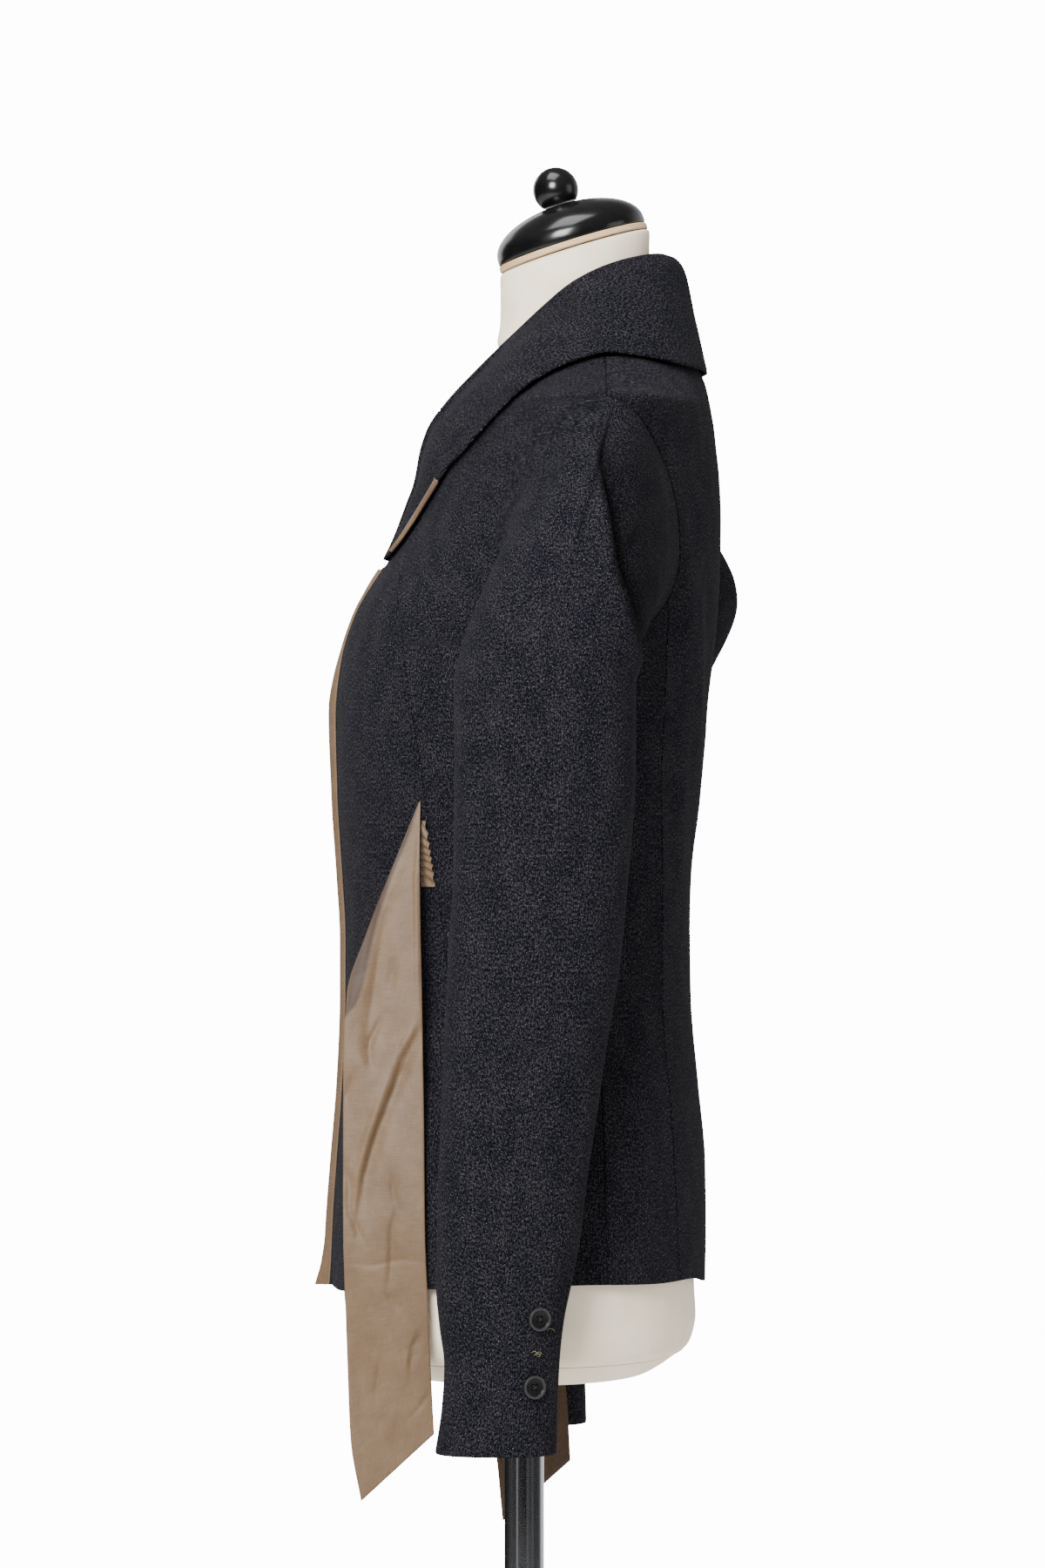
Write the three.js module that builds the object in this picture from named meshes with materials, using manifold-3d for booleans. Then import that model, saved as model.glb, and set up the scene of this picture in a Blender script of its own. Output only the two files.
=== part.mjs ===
// A women's knitted wool blazer with a satin sash, worn by a limbless dress form on a pole stand.
// Millimetres, +Z up. The wearer's front faces -Y and the wearer's left is +X. The origin is on the
// floor under the pole. Angles round the torso are in degrees: -90 is the centre front, 0 the
// wearer's left side and 90 the centre back.
import * as THREE from "three";
import { mergeVertices } from "three/addons/utils/BufferGeometryUtils.js";
import Module from "manifold-3d";

// Cloth and seams
const WALL = 2; // knitted wool, two layers pressed at the seams
const SATIN = 1.2; // satin, folded double
const SEAM = 0.4; // gap between two pieces at a seam
const LAID = 0.4; // gap under a piece that lies on another

// Heights of the garment
const HEM_Z = 822;
const BREAK_Z = 1274;
const YOKE_Z = 1397.5; // where the princess seam meets the shoulder seam
const NECK_Z = 1418;

// The outside of the jacket's body, as level sections: how far it reaches to the front, to the back
// and to the side, where it is widest, how square the section is, and how far the form lies inside.
const TORSO = [
  { z: 822, front: -121, back: 114, half: 174, centre: 0, square: 2.25, ease: 5 },
  { z: 860, front: -120, back: 114.5, half: 173, centre: 0, square: 2.25, ease: 5 },
  { z: 900, front: -117.5, back: 114, half: 169, centre: 0, square: 2.25, ease: 5 },
  { z: 950, front: -114, back: 109.5, half: 159, centre: 0, square: 2.2, ease: 5 },
  { z: 1004, front: -112, back: 105, half: 146, centre: 0, square: 2.15, ease: 6 },
  { z: 1040, front: -112, back: 104.5, half: 141, centre: 1, square: 2.15, ease: 6 },
  { z: 1080, front: -114, back: 106, half: 141, centre: 2, square: 2.15, ease: 5.5 },
  { z: 1130, front: -117, back: 111, half: 146, centre: 3, square: 2.25, ease: 4.5 },
  { z: 1180, front: -118, back: 115.5, half: 151, centre: 5, square: 2.3, ease: 3.5 },
  { z: 1215, front: -115, back: 119.5, half: 154, centre: 8, square: 2.25, ease: 3.5 },
  { z: 1245, front: -106, back: 122, half: 157, centre: 12, square: 2.2, ease: 3.5 },
  { z: 1276, front: -87, back: 123.5, half: 161, centre: 18, square: 2.1, ease: 3.5 },
  { z: 1305, front: -69, back: 124, half: 166, centre: 24, square: 2, ease: 3.5 },
  { z: 1330, front: -60, back: 123, half: 172, centre: 31, square: 1.95, ease: 3.5 },
  { z: 1350, front: -53, back: 121, half: 178, centre: 39, square: 1.88, ease: 3.2 },
  { z: 1363, front: -48, back: 119.5, half: 182, centre: 46, square: 1.85, ease: 3.6 },
  { z: 1372, front: -43, back: 118, half: 181, centre: 50, square: 1.85, ease: 3 },
  { z: 1380, front: -37, back: 116.5, half: 160, centre: 50, square: 1.85, ease: 2 },
  { z: 1390, front: -29, back: 114, half: 132, centre: 50, square: 1.85, ease: 2.3 },
  { z: 1399, front: -23, back: 110, half: 108, centre: 50, square: 1.9, ease: 2.4 },
  { z: 1408, front: -19.5, back: 103, half: 83, centre: 46, square: 1.95, ease: 2.6 },
  { z: 1418, front: -18.5, back: 94, half: 62, centre: 40, square: 2, ease: 2.6 },
];

// Seams of the body, by the height and how far forward or back they lie
const PRINCESS = [
  { z: 822, y: -38 },
  { z: 925, y: -42 },
  { z: 1031, y: -47.5 },
  { z: 1080, y: -54 },
  { z: 1128, y: -60.3 },
  { z: 1182, y: -68.4 },
  { z: 1247, y: -77.5 },
  { z: 1268, y: -76.5 },
  { z: 1281, y: -73 },
  { z: 1300, y: -65 },
  { z: 1330, y: -53 },
  { z: 1357, y: -36 },
  { z: 1380, y: -8 },
  { z: 1390, y: 20 },
  { z: 1397.5, y: 50 },
];
const YOKE_TIP_Z = 1396.4; // just under where the princess seam runs into the shoulder seam
const SIDE_SEAM = [
  { z: 822, y: 51 },
  { z: 925, y: 48 },
  { z: 1040, y: 44 },
  { z: 1222, y: 40 },
];
const BACK_SEAM = [
  { z: 822, y: 96 },
  { z: 925, y: 91 },
  { z: 1004, y: 85 },
  { z: 1080, y: 84 },
  { z: 1150, y: 85 },
  { z: 1222, y: 87.2 },
  { z: 1236.3, y: 88 },
  { z: 1252.8, y: 88.7 },
];
const BACK_SEAM_TIP_Z = 1249; // just under where the back seam runs into the armhole

// Where the front's own edge lies, out from the centre, above the break
const NECKLINE = [
  { z: 1274, x: 0.3 },
  { z: 1296.8, x: 16 },
  { z: 1313, x: 22 },
  { z: 1327, x: 27 },
  { z: 1347, x: 33 },
  { z: 1361, x: 37 },
  { z: 1380, x: 43 },
  { z: 1395, x: 48 },
  { z: 1408, x: 54 },
  { z: 1418, x: 61 },
];

// How far the open front edge stands out from the body, and how wide that flare is
const EDGE_FLARE = [
  { z: 822, out: 11 },
  { z: 837, out: 7 },
  { z: 855, out: 5 },
  { z: 890, out: 4.5 },
  { z: 978, out: 3.5 },
  { z: 1127, out: 4 },
  { z: 1187, out: 5 },
  { z: 1205, out: 3.5 },
  { z: 1225, out: 1 },
  { z: 1276, out: 0 },
];
const FLARE_WIDTH = 13;
const EDGE_COLUMNS = [4.5, 9, 13]; // distances of the front's first columns from its edge
const BINDING_COLUMNS = 2; // the satin strip covers the first of them

// How much higher the hem hangs round the body, from straight in front to straight behind
const HEM_RISE = [
  { angle: -90, rise: 0 },
  { angle: -60, rise: 2 },
  { angle: -30, rise: 8 },
  { angle: 0, rise: 12 },
  { angle: 40, rise: 11 },
  { angle: 65, rise: 7 },
  { angle: 90, rise: 3 },
];
const HEM_REACH = 45; // how far above the hem the cloth is still drawn up

// Upright folds of the slack back behind the armhole
const BACK_FOLDS = [
  { y: 100, z: 1240, tall: 95, wide: 5.5, out: 2.6 },
  { y: 108, z: 1205, tall: 120, wide: 4.5, out: 2.2 },
  { y: 115, z: 1230, tall: 110, wide: 5, out: -2 },
  { y: 91, z: 1140, tall: 80, wide: 8, out: -2.2 },
];

// The armhole, seen from the side: an egg, fuller at the back below
const ARMHOLE = { z: 1296.8, tall: 74.8, y: 45, lean: 5, back: 50, backLow: 13, front: 62, frontLow: 4 };
const ARM_STEPS = 20; // points round an armhole and round a sleeve

// The sleeve below the armhole, as level sections
const SLEEVE = [
  { z: 1200, front: -42.5, back: 67, inner: 163, outer: 250 },
  { z: 1145, front: -42, back: 66.8, inner: 163.5, outer: 250 },
  { z: 1078, front: -43, back: 62, inner: 165, outer: 248 },
  { z: 1031, front: -46, back: 57.5, inner: 168, outer: 246 },
  { z: 985, front: -48, back: 50, inner: 171, outer: 245 },
  { z: 940, front: -50, back: 43.5, inner: 175, outer: 243 },
  { z: 900, front: -51.5, back: 37.5, inner: 178.5, outer: 241 },
  { z: 866, front: -52.5, back: 33.5, inner: 179.5, outer: 240 },
  { z: 840, front: -53, back: 28.5, inner: 180, outer: 240 },
  { z: 815, front: -51, back: 23.5, inner: 180, outer: 240 },
  { z: 790, front: -48, back: 21, inner: 180.5, outer: 240 },
  { z: 765, front: -49.5, back: 20, inner: 181, outer: 240.5 },
  { z: 738, front: -53.5, back: 19.5, inner: 181, outer: 241.5 },
];
const SLEEVE_SQUARE = 2.35;
const CAP_LEVELS = [0, 0.15, 0.33, 0.52, 0.7, 0.86];
// The cap's path from the armhole to the tube bends out first and then down
const CAP_BEND = { x: 0.85, y: 0.35, z: 0.12 };
// The deep fold where the empty sleeve falls over its own back
const SLEEVE_FOLD = [
  { z: 1195, y: 74, in: 0 },
  { z: 1217, y: 69.4, in: 6 },
  { z: 1248, y: 60, in: 13 },
  { z: 1270, y: 53, in: 14 },
  { z: 1295, y: 49.6, in: 12 },
  { z: 1318, y: 45.4, in: 8 },
  { z: 1343, y: 44, in: 2 },
  { z: 1356, y: 44, in: 0 },
];
const FOLD_RISE = 7;
const FOLD_REACH = 30;
const FOLD_LAST_TURN = 120;
const FOLD_FADE = 0.5; // the fold dies out over this share of the cap, towards the armhole
// The vent at the back of the cuff
const VENT_TOP_Z = 853;
const VENT_COLUMN = 4; // the slit runs between this column of the sleeve and the next
const VENT_GAP_TURN = 2.5; // degrees between the slit's two edges
const UNDERLAP = { thick: 1.6, heights: [741, 765, 790, 815, 840, 848], firstColumn: 3, lastColumn: 6 };

// The right sleeve hangs a little lower and further back. Its cap is puffed out behind, and so is
// its back below the cap, which fades over PUSH_REACH on the way down.
const LEFT_SLEEVE = { swing: 0, drop: 1, out: 0, puff: 0, push: 0 };
const RIGHT_SLEEVE = { swing: 22, drop: 1.053, out: 5, puff: 37, push: 50 };
const PUSH_REACH = 75;

// The roll of the collar and lapel from the centre back to the break: its foot on the neckline, its
// crest, its outer edge on the body, how round the roll is and how far the fall bulges.
const ROLL = [
  { footAngle: 90, x: 0, y: 90.5, z: 1470.5, edgeY: 112.5, edgeZ: 1395, roll: 8, bulge: 0.5 },
  { footAngle: 68, x: 24, y: 84.5, z: 1470, edgeY: 109.5, edgeZ: 1395, roll: 7.5, bulge: 1 },
  { footAngle: 46, x: 43, y: 69, z: 1466.5, edgeY: 98.5, edgeZ: 1395, roll: 7, bulge: 3 },
  { footAngle: 24, x: 54.5, y: 50, z: 1460, edgeY: 77.5, edgeZ: 1397.5, roll: 6.5, bulge: 4 },
  { footAngle: 2, x: 58.5, y: 30, z: 1449.5, edgeY: 53, edgeZ: 1400, roll: 6, bulge: 4.5 },
  { footZ: 1413.5, x: 57, y: 12, z: 1434.5, edgeY: 32, edgeZ: 1394.6, roll: 5.5, bulge: 5 },
  { footZ: 1408, x: 53, y: -2, z: 1422, edgeY: 11.7, edgeZ: 1384.5, roll: 5, bulge: 5.5 },
  { footZ: 1399, x: 48.5, y: -14, z: 1411, edgeY: -3.8, edgeZ: 1372.5, roll: 4.5, bulge: 6 },
  { footZ: 1388, x: 43.5, y: -31, z: 1394.5, edgeY: -17, edgeZ: 1360, roll: 4, bulge: 6 },
  { footZ: 1372, x: 38, y: -48.5, z: 1376, edgeY: -34, edgeZ: 1342, roll: 4, bulge: 6 },
  { footZ: 1359, x: 33, y: -59.4, z: 1361, edgeY: -45, edgeZ: 1331, roll: 4, bulge: 5 },
  { footZ: 1345, x: 29, y: -64.5, z: 1347, edgeY: -51, edgeZ: 1322.5, roll: 4, bulge: 4 },
  { footZ: 1326, x: 23.5, y: -68.5, z: 1327, edgeY: -58, edgeZ: 1312, roll: 3.5, bulge: 3 },
  { footZ: 1312, x: 18.5, y: -73.7, z: 1313, edgeY: -64.5, edgeZ: 1302, roll: 3, bulge: 2.5 },
  { footZ: 1292, x: 11, y: -82.4, z: 1291, edgeY: -75, edgeZ: 1287, roll: 2.5, bulge: 1.5 },
  { footZ: 1280.5, x: 5.5, y: -88.2, z: 1279.5, edgeY: -82.6, edgeZ: 1278.2, roll: 2, bulge: 1 },
];
const GORGE_ROW = 9.3; // where the gorge seam crosses the roll, counted in its rows
const ROLL_SHAPE = { drop: 0.6, columns: 8, collarRows: 11, lapelRows: 7, gorgeGap: 0.04 };
const FOOT_GAP = 0.8; // the collar's foot stands over the neckline's edge
const FOOT_INSET = 2.3; // and inside the front's own edge
const LAPEL_BINDING = { from: 10.8, end: 0.3, rows: 8, width: 3.2 };
const EDGE_LIFT = 3.4; // the outer edge's middle over the body

// The sash ends from the slot down: the front and the back edge, and how far out each row lies
const SASH_LEFT = [
  { frontZ: 1127, frontY: -66, backZ: 1127, backY: -63.5, out: 127.4, turn: 0 },
  { frontZ: 1085, frontY: -81.5, backZ: 1089, backY: -63.8, out: 132.6, turn: 2 },
  { frontZ: 1046, frontY: -97, backZ: 1052, backY: -63.4, out: 137.6, turn: 3 },
  { frontZ: 1010, frontY: -108.5, backZ: 1010, backY: -62.3, out: 142.8, turn: 4 },
  { frontZ: 975, frontY: -110.2, backZ: 975, backY: -61.7, out: 147.2, turn: 4 },
  { frontZ: 935, frontY: -110.3, backZ: 935, backY: -61, out: 152.2, turn: 5 },
  { frontZ: 895, frontY: -110.2, backZ: 895, backY: -60.5, out: 157.2, turn: 5 },
  { frontZ: 860, frontY: -109.8, backZ: 862, backY: -60, out: 160.6, turn: 5 },
  { frontZ: 820, frontY: -108.6, backZ: 828, backY: -58.6, out: 161.6, turn: 5 },
  { frontZ: 780, frontY: -107.2, backZ: 798, backY: -57.4, out: 161.6, turn: 4 },
  { frontZ: 740, frontY: -105.3, backZ: 770, backY: -56, out: 161.6, turn: 3 },
  { frontZ: 703, frontY: -99, backZ: 744, backY: -54.6, out: 161.6, turn: 2 },
];
const SASH_RIGHT = [
  { frontZ: 1127, frontY: -66, backZ: 1127, backY: -63.5, out: 127.6, turn: 0 },
  { frontZ: 1118, frontY: -68, backZ: 1120, backY: -60.5, out: 131.4, turn: 0 },
  { frontZ: 1080, frontY: -72, backZ: 1092, backY: -48, out: 136.4, turn: 0 },
  { frontZ: 1035, frontY: -69, backZ: 1050, backY: -30, out: 144.8, turn: 0 },
  { frontZ: 985, frontY: -61, backZ: 1000, backY: -17.5, out: 154.6, turn: 0 },
  { frontZ: 935, frontY: -53, backZ: 945, backY: -6.5, out: 164.8, turn: 0 },
  { frontZ: 880, frontY: -44, backZ: 890, backY: 4, out: 174.6, turn: 0 },
  { frontZ: 845, frontY: -38.5, backZ: 855, backY: 9.5, out: 176.8, turn: 0 },
  { frontZ: 800, frontY: -31.5, backZ: 812, backY: 17, out: 177.6, turn: 0 },
  { frontZ: 745, frontY: -24, backZ: 765, backY: 24.5, out: 177.6, turn: 0 },
  { frontZ: 700, frontY: -18.8, backZ: 728, backY: 28.5, out: 177.6, turn: 0 },
  { frontZ: 652, frontY: -14.2, backZ: 692, backY: 30.5, out: 177.6, turn: 0 },
];
const SASH_COLUMNS = 3;

// The gathered satin that shows in the slot beside the sash
const TAB = [
  { z: 1075, front: -62.5, back: -54 },
  { z: 1087, front: -62.8, back: -55.4 },
  { z: 1103, front: -62.6, back: -57.8 },
  { z: 1116, front: -62.3, back: -59.8 },
];
const TAB_ROWS = 14;
const TAB_GATHER = { pitch: 7, rise: 0.7 };

// Cuff buttons
const BUTTON = { radius: 7, thick: 2, rim: 1.4, rimRise: 0.8, bevel: 0.8, dish: 0.3, hole: 0.8, spread: 1.7 };
const BUTTON_SEAT = 0.9; // its back over the middle of the flat it sits on
const BUTTON_HOLES = 4;
const BUTTON_PLACES = [
  { name: "upper", z: 820, y: 8.2 },
  { name: "lower", z: 779.6, y: 5.1 },
];

// The dress form and its stand
const NECK = { y: 32, radius: 47, foot: 1431 };
const NECK_RINGS = [
  { wider: 2, below: 14 },
  { wider: 0.5, below: 5 },
  { wider: 0, below: -6 },
];
const FORM_STEPS = 30;
const FORM_LEVELS = [
  825, 870, 925, 980, 1040, 1090, 1140, 1180, 1215, 1245, 1276, 1310, 1340, 1360, 1371.6, 1380, 1390, 1397.5,
  1408,
];
const FORM_SQUARE = 2.25; // below the hem
const FORM_LOW = [
  { z: 783.4, front: -104, back: 100, half: 158 },
  { z: 789, front: -108, back: 104.5, half: 163 },
  { z: 796, front: -110.5, back: 106.8, half: 165.4 },
  { z: 803, front: -112, back: 108, half: 167 },
];
const BOARD = { top: 783.1, middle: 777, bottom: 771, inset: 1.5, taper: 20 };
const CAP_PLACE = { y: 30.5, z: 1478, tilt: 17 };
const RIM_BOARD = { radius: 48.6, thick: 4 };
const CAP_PROFILE = [
  { r: 0, h: 0.3 },
  { r: 48.2, h: 0.3 },
  { r: 48.2, h: 3.5 },
  { r: 45.5, h: 10.5 },
  { r: 41, h: 16 },
  { r: 35, h: 20 },
  { r: 27, h: 23.6 },
  { r: 17, h: 25.8 },
  { r: 0, h: 26.7 },
];
const KNOB = { radius: 14.3, centre: 36.5, foot: 27.1, steps: 8 };
const POLE = { radius: 12.5, bottom: 10.6, top: 770.7 };
const BASE_PROFILE = [
  { r: 0, h: 0 },
  { r: 185, h: 0 },
  { r: 185, h: 7 },
  { r: 182, h: 9 },
  { r: 83, h: 13 },
  { r: 32, h: 17 },
  { r: 24, h: 23 },
  { r: 22, h: 42 },
  { r: 12.8, h: 42 }, // the socket for the pole
  { r: 12.8, h: 10.3 },
  { r: 0, h: 10.3 },
];

const degrees = (a) => (a * Math.PI) / 180;
const lerp = THREE.MathUtils.lerp;
const range = (n) => Array.from({ length: n }, (_, i) => i);
const v3 = (x, y, z) => new THREE.Vector3(x, y, z);

// The value of a table's column at a place between its rows, on a curve that never overshoots them
function along(table, name, at, key = "z") {
  const rising = table[table.length - 1][key] > table[0][key];
  const rows = rising ? table : [...table].reverse();
  const last = rows.length - 1;
  if (at <= rows[0][key]) return rows[0][name];
  if (at >= rows[last][key]) return rows[last][name];
  let i = 0;
  while (rows[i + 1][key] < at) i += 1;
  const slope = (k) => (rows[k + 1][name] - rows[k][name]) / (rows[k + 1][key] - rows[k][key]);
  const tangent = (k) => {
    if (k === 0) return slope(0);
    if (k === last) return slope(last - 1);
    const [before, after] = [slope(k - 1), slope(k)];
    return before * after <= 0 ? 0 : (2 * before * after) / (before + after);
  };
  const step = rows[i + 1][key] - rows[i][key];
  const t = (at - rows[i][key]) / step;
  const [t2, t3] = [t * t, t * t * t];
  return (
    (2 * t3 - 3 * t2 + 1) * rows[i][name] +
    (t3 - 2 * t2 + t) * step * tangent(i) +
    (3 * t2 - 2 * t3) * rows[i + 1][name] +
    (t3 - t2) * step * tangent(i + 1)
  );
}

// A point of a level section that reaches to front, back and half, at an angle
function sectionPoint(section, angle, z) {
  const [c, s] = [Math.cos(degrees(angle)), Math.sin(degrees(angle))];
  const depth = s < 0 ? section.centre - section.front : section.back - section.centre;
  const n = section.square;
  const reach = (Math.abs(c / section.half) ** n + Math.abs(s / depth) ** n) ** (-1 / n);
  return v3(reach * c, section.centre + reach * s, z);
}

const torsoSection = (z) =>
  Object.fromEntries(["front", "back", "half", "centre", "square"].map((k) => [k, along(TORSO, k, z)]));

const bareTorso = (angle, z) => sectionPoint(torsoSection(z), angle, z);

// The outward direction of the torso at a place
function torsoNormal(angle, z) {
  const low = Math.min(z, NECK_Z - 2);
  const round = bareTorso(angle + 0.5, low).sub(bareTorso(angle - 0.5, low));
  const up = bareTorso(angle, low + 1.5).sub(bareTorso(angle, low - 1.5));
  return round.cross(up).normalize();
}

// How far the cloth stands off the plain torso: the flare of the front edge and the back's folds
function slack(angle, z) {
  const p = bareTorso(angle, z);
  let out = 0;
  if (angle < -45 && z < BREAK_Z && p.x < FLARE_WIDTH) {
    out += along(EDGE_FLARE, "out", z) * (1 - p.x / FLARE_WIDTH) ** 1.6;
  }
  if (angle > 0) {
    for (const fold of BACK_FOLDS) {
      const across = (p.y - fold.y) / fold.wide;
      const upward = (z - fold.z) / (fold.tall / 2);
      out += fold.out * Math.exp(-across * across) * Math.max(0, 1 - upward * upward);
    }
  }
  return out;
}

function torsoPoint(angle, z, lift = 0) {
  const point = bareTorso(angle, z).addScaledVector(torsoNormal(angle, z), lift + slack(angle, z));
  point.z += along(HEM_RISE, "rise", angle, "angle") * Math.max(0, 1 - (z - HEM_Z) / HEM_REACH) ** 2;
  return point.setX(Math.max(point.x, SEAM / 2)); // the halves stay apart at the centre
}

const HALVINGS = 40;

// The angle between two others at which a rising measure of the section reaches a value
function angleWhere(measure, value, low, high) {
  for (const _ of range(HALVINGS)) {
    const middle = (low + high) / 2;
    if (measure(middle) < value) low = middle;
    else high = middle;
  }
  return (low + high) / 2;
}

const angleAtY = (z, y) => angleWhere((a) => bareTorso(a, z).y, y, -90, 90);
const angleAtFrontX = (z, x) => angleWhere((a) => bareTorso(a, z).x, x, -90, 0);

// The armhole's place at a step round it: 0 is the shoulder point, 90 degrees the back
function armhole(turn) {
  const [c, s] = [Math.cos(degrees(turn)), Math.sin(degrees(turn))];
  const half = s > 0 ? ARMHOLE.back - ARMHOLE.backLow * c : ARMHOLE.front - ARMHOLE.frontLow * c;
  return { y: ARMHOLE.y + ARMHOLE.lean * c + half * s, z: ARMHOLE.z + ARMHOLE.tall * c };
}

const ARM_TOP_Z = ARMHOLE.z + ARMHOLE.tall;
const ARM_LOW_Z = ARMHOLE.z - ARMHOLE.tall;

// The armhole's angle on the torso at a height, on its front or its back
function armholeAngle(z, turnSign) {
  const c = THREE.MathUtils.clamp((z - ARMHOLE.z) / ARMHOLE.tall, -1, 1);
  return angleAtY(z, armhole(turnSign * THREE.MathUtils.radToDeg(Math.acos(c))).y);
}

// A closed wall between two grids of points. holds(row, column) says which cells are cloth.
function wallGeometry(outer, inner, closed, holds) {
  const rows = outer.length;
  const columns = outer[0].length;
  const cells = closed ? columns : columns - 1;
  const positions = [...outer.flat(), ...inner.flat()].flatMap((p) => [p.x, p.y, p.z]);
  const at = (layer, row, column) => layer * rows * columns + row * columns + (column % columns);
  const has = (row, column) =>
    row >= 0 &&
    row < rows - 1 &&
    (closed || (column >= 0 && column < cells)) &&
    holds(row, (column + cells) % cells);
  const faces = [];
  const quad = (a, b, c, d) => faces.push(a, b, c, a, c, d);
  for (const r of range(rows - 1)) {
    for (const c of range(cells)) {
      if (!has(r, c)) continue;
      quad(at(0, r, c), at(0, r, c + 1), at(0, r + 1, c + 1), at(0, r + 1, c));
      quad(at(1, r, c), at(1, r + 1, c), at(1, r + 1, c + 1), at(1, r, c + 1));
      if (!has(r - 1, c)) quad(at(0, r, c + 1), at(0, r, c), at(1, r, c), at(1, r, c + 1));
      if (!has(r + 1, c)) quad(at(0, r + 1, c), at(0, r + 1, c + 1), at(1, r + 1, c + 1), at(1, r + 1, c));
      if (!has(r, c - 1)) quad(at(0, r, c), at(0, r + 1, c), at(1, r + 1, c), at(1, r, c));
      if (!has(r, c + 1)) quad(at(0, r + 1, c + 1), at(0, r, c + 1), at(1, r, c + 1), at(1, r + 1, c + 1));
    }
  }
  const geometry = new THREE.BufferGeometry();
  geometry.setAttribute("position", new THREE.Float32BufferAttribute(positions, 3));
  geometry.setIndex(faces);
  return geometry;
}

// The grid's points moved along its own normals
function offsetGrid(grid, distance, closed) {
  const rows = grid.length;
  const columns = grid[0].length;
  const column = (c) => (closed ? (c + columns) % columns : THREE.MathUtils.clamp(c, 0, columns - 1));
  return grid.map((row, r) =>
    row.map((point, c) => {
      const across = row[column(c + 1)].clone().sub(row[column(c - 1)]);
      const upward = grid[Math.min(r + 1, rows - 1)][c].clone().sub(grid[Math.max(r - 1, 0)][c]);
      return point.clone().addScaledVector(across.cross(upward).normalize(), distance);
    }),
  );
}

// Cloth between two distances from a grid of points
function cloth(grid, { above = 0, below = WALL, closed = false, holds = () => true } = {}) {
  return wallGeometry(offsetGrid(grid, above, closed), offsetGrid(grid, -below, closed), closed, holds);
}

// The same piece for the wearer's other side
function mirrored(geometry) {
  const copy = geometry.clone().scale(-1, 1, 1);
  const index = copy.index.array.slice();
  for (let i = 0; i < index.length; i += 3) {
    [index[i + 1], index[i + 2]] = [index[i + 2], index[i + 1]];
  }
  copy.setIndex([...index]);
  return copy;
}

// A closed solid through rings of points, from the bottom up, with a flat cap at each end
function loftGeometry(rings) {
  const count = rings[0].length;
  const centres = [rings[0], rings[rings.length - 1]].map((ring) =>
    ring.reduce((sum, p) => sum.add(p), v3(0, 0, 0)).divideScalar(count),
  );
  const positions = [...rings.flat(), ...centres].flatMap((p) => [p.x, p.y, p.z]);
  const at = (row, column) => row * count + (column % count);
  const [bottom, top] = [rings.length * count, rings.length * count + 1];
  const faces = [];
  for (const c of range(count)) {
    for (const r of range(rings.length - 1)) {
      faces.push(at(r, c), at(r, c + 1), at(r + 1, c + 1), at(r, c), at(r + 1, c + 1), at(r + 1, c));
    }
    faces.push(bottom, at(0, c + 1), at(0, c), top, at(rings.length - 1, c), at(rings.length - 1, c + 1));
  }
  const geometry = new THREE.BufferGeometry();
  geometry.setAttribute("position", new THREE.Float32BufferAttribute(positions, 3));
  geometry.setIndex(faces);
  return geometry;
}

// A turned solid: its profile's r and h, spun about +Z
function turned(profile, segments) {
  return new THREE.LatheGeometry(
    profile.map((p) => new THREE.Vector2(p.r, p.h)),
    segments,
  ).rotateX(degrees(90));
}

// A panel of the body between two seams: its wall on the torso, or a strip laid on its first columns
function panelGeometry(panel, { above = 0, below = WALL, count = Infinity } = {}) {
  const grid = (lift) =>
    panel.levels.map((z) => panelAngles(panel, z).slice(0, count).map((angle) => torsoPoint(angle, z, lift)));
  return wallGeometry(grid(above), grid(-below), false, () => true);
}

// The angles of a panel's columns at a height: some at set distances from its first seam, then even ones
function panelAngles({ from, to, columns, edgeColumns = [] }, z) {
  const perMillimetre = (angle) => 1 / bareTorso(angle + 0.5, z).distanceTo(bareTorso(angle - 0.5, z));
  const [start, end] = [from(z), to(z)];
  const [first, last] = [start + (SEAM / 2) * perMillimetre(start), end - (SEAM / 2) * perMillimetre(end)];
  const narrow = Math.min(1, (last - first) / (2 * EDGE_SPREAD * perMillimetre(start)));
  const near = [0, ...edgeColumns].map((distance) => first + distance * narrow * perMillimetre(start));
  const inner = near[near.length - 1];
  return [...near, ...range(columns).map((i) => lerp(inner, last, (i + 1) / columns))];
}

const EDGE_SPREAD = EDGE_COLUMNS[EDGE_COLUMNS.length - 1];
const LOW_LEVELS = [HEM_Z, 832, 850, 880, 925, 970, 1010, 1050, 1090, 1130, 1170, 1200];
const ARM_LEVELS = range(ARM_STEPS / 2 + 1).map(
  (i) => ARMHOLE.z - ARMHOLE.tall * Math.cos(degrees((i * 360) / ARM_STEPS)),
);
const SHOULDER_LEVELS = [1380, 1390];
const NECK_LEVELS = [YOKE_Z, 1408, NECK_Z - 0.6];

// The angles of the seams at a height
const centreEdge = (z) => (z < BREAK_Z ? -90 : angleAtFrontX(z, along(NECKLINE, "x", z)));
const princess = (z) => (z < YOKE_Z ? angleAtY(z, along(PRINCESS, "y", z)) : 0);
const sideSeam = (z) => angleAtY(z, along(SIDE_SEAM, "y", z));
const backSeam = (z) => angleAtY(z, along(BACK_SEAM, "y", z));

function sideFrontOuter(z) {
  if (z < ARM_LOW_Z) return sideSeam(z);
  return z < ARM_TOP_Z ? armholeAngle(z, -1) : 0;
}

function backOuter(z) {
  if (z < BACK_SEAM_TIP_Z) return backSeam(z);
  return z < ARM_TOP_Z ? armholeAngle(z, 1) : 0;
}

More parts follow.
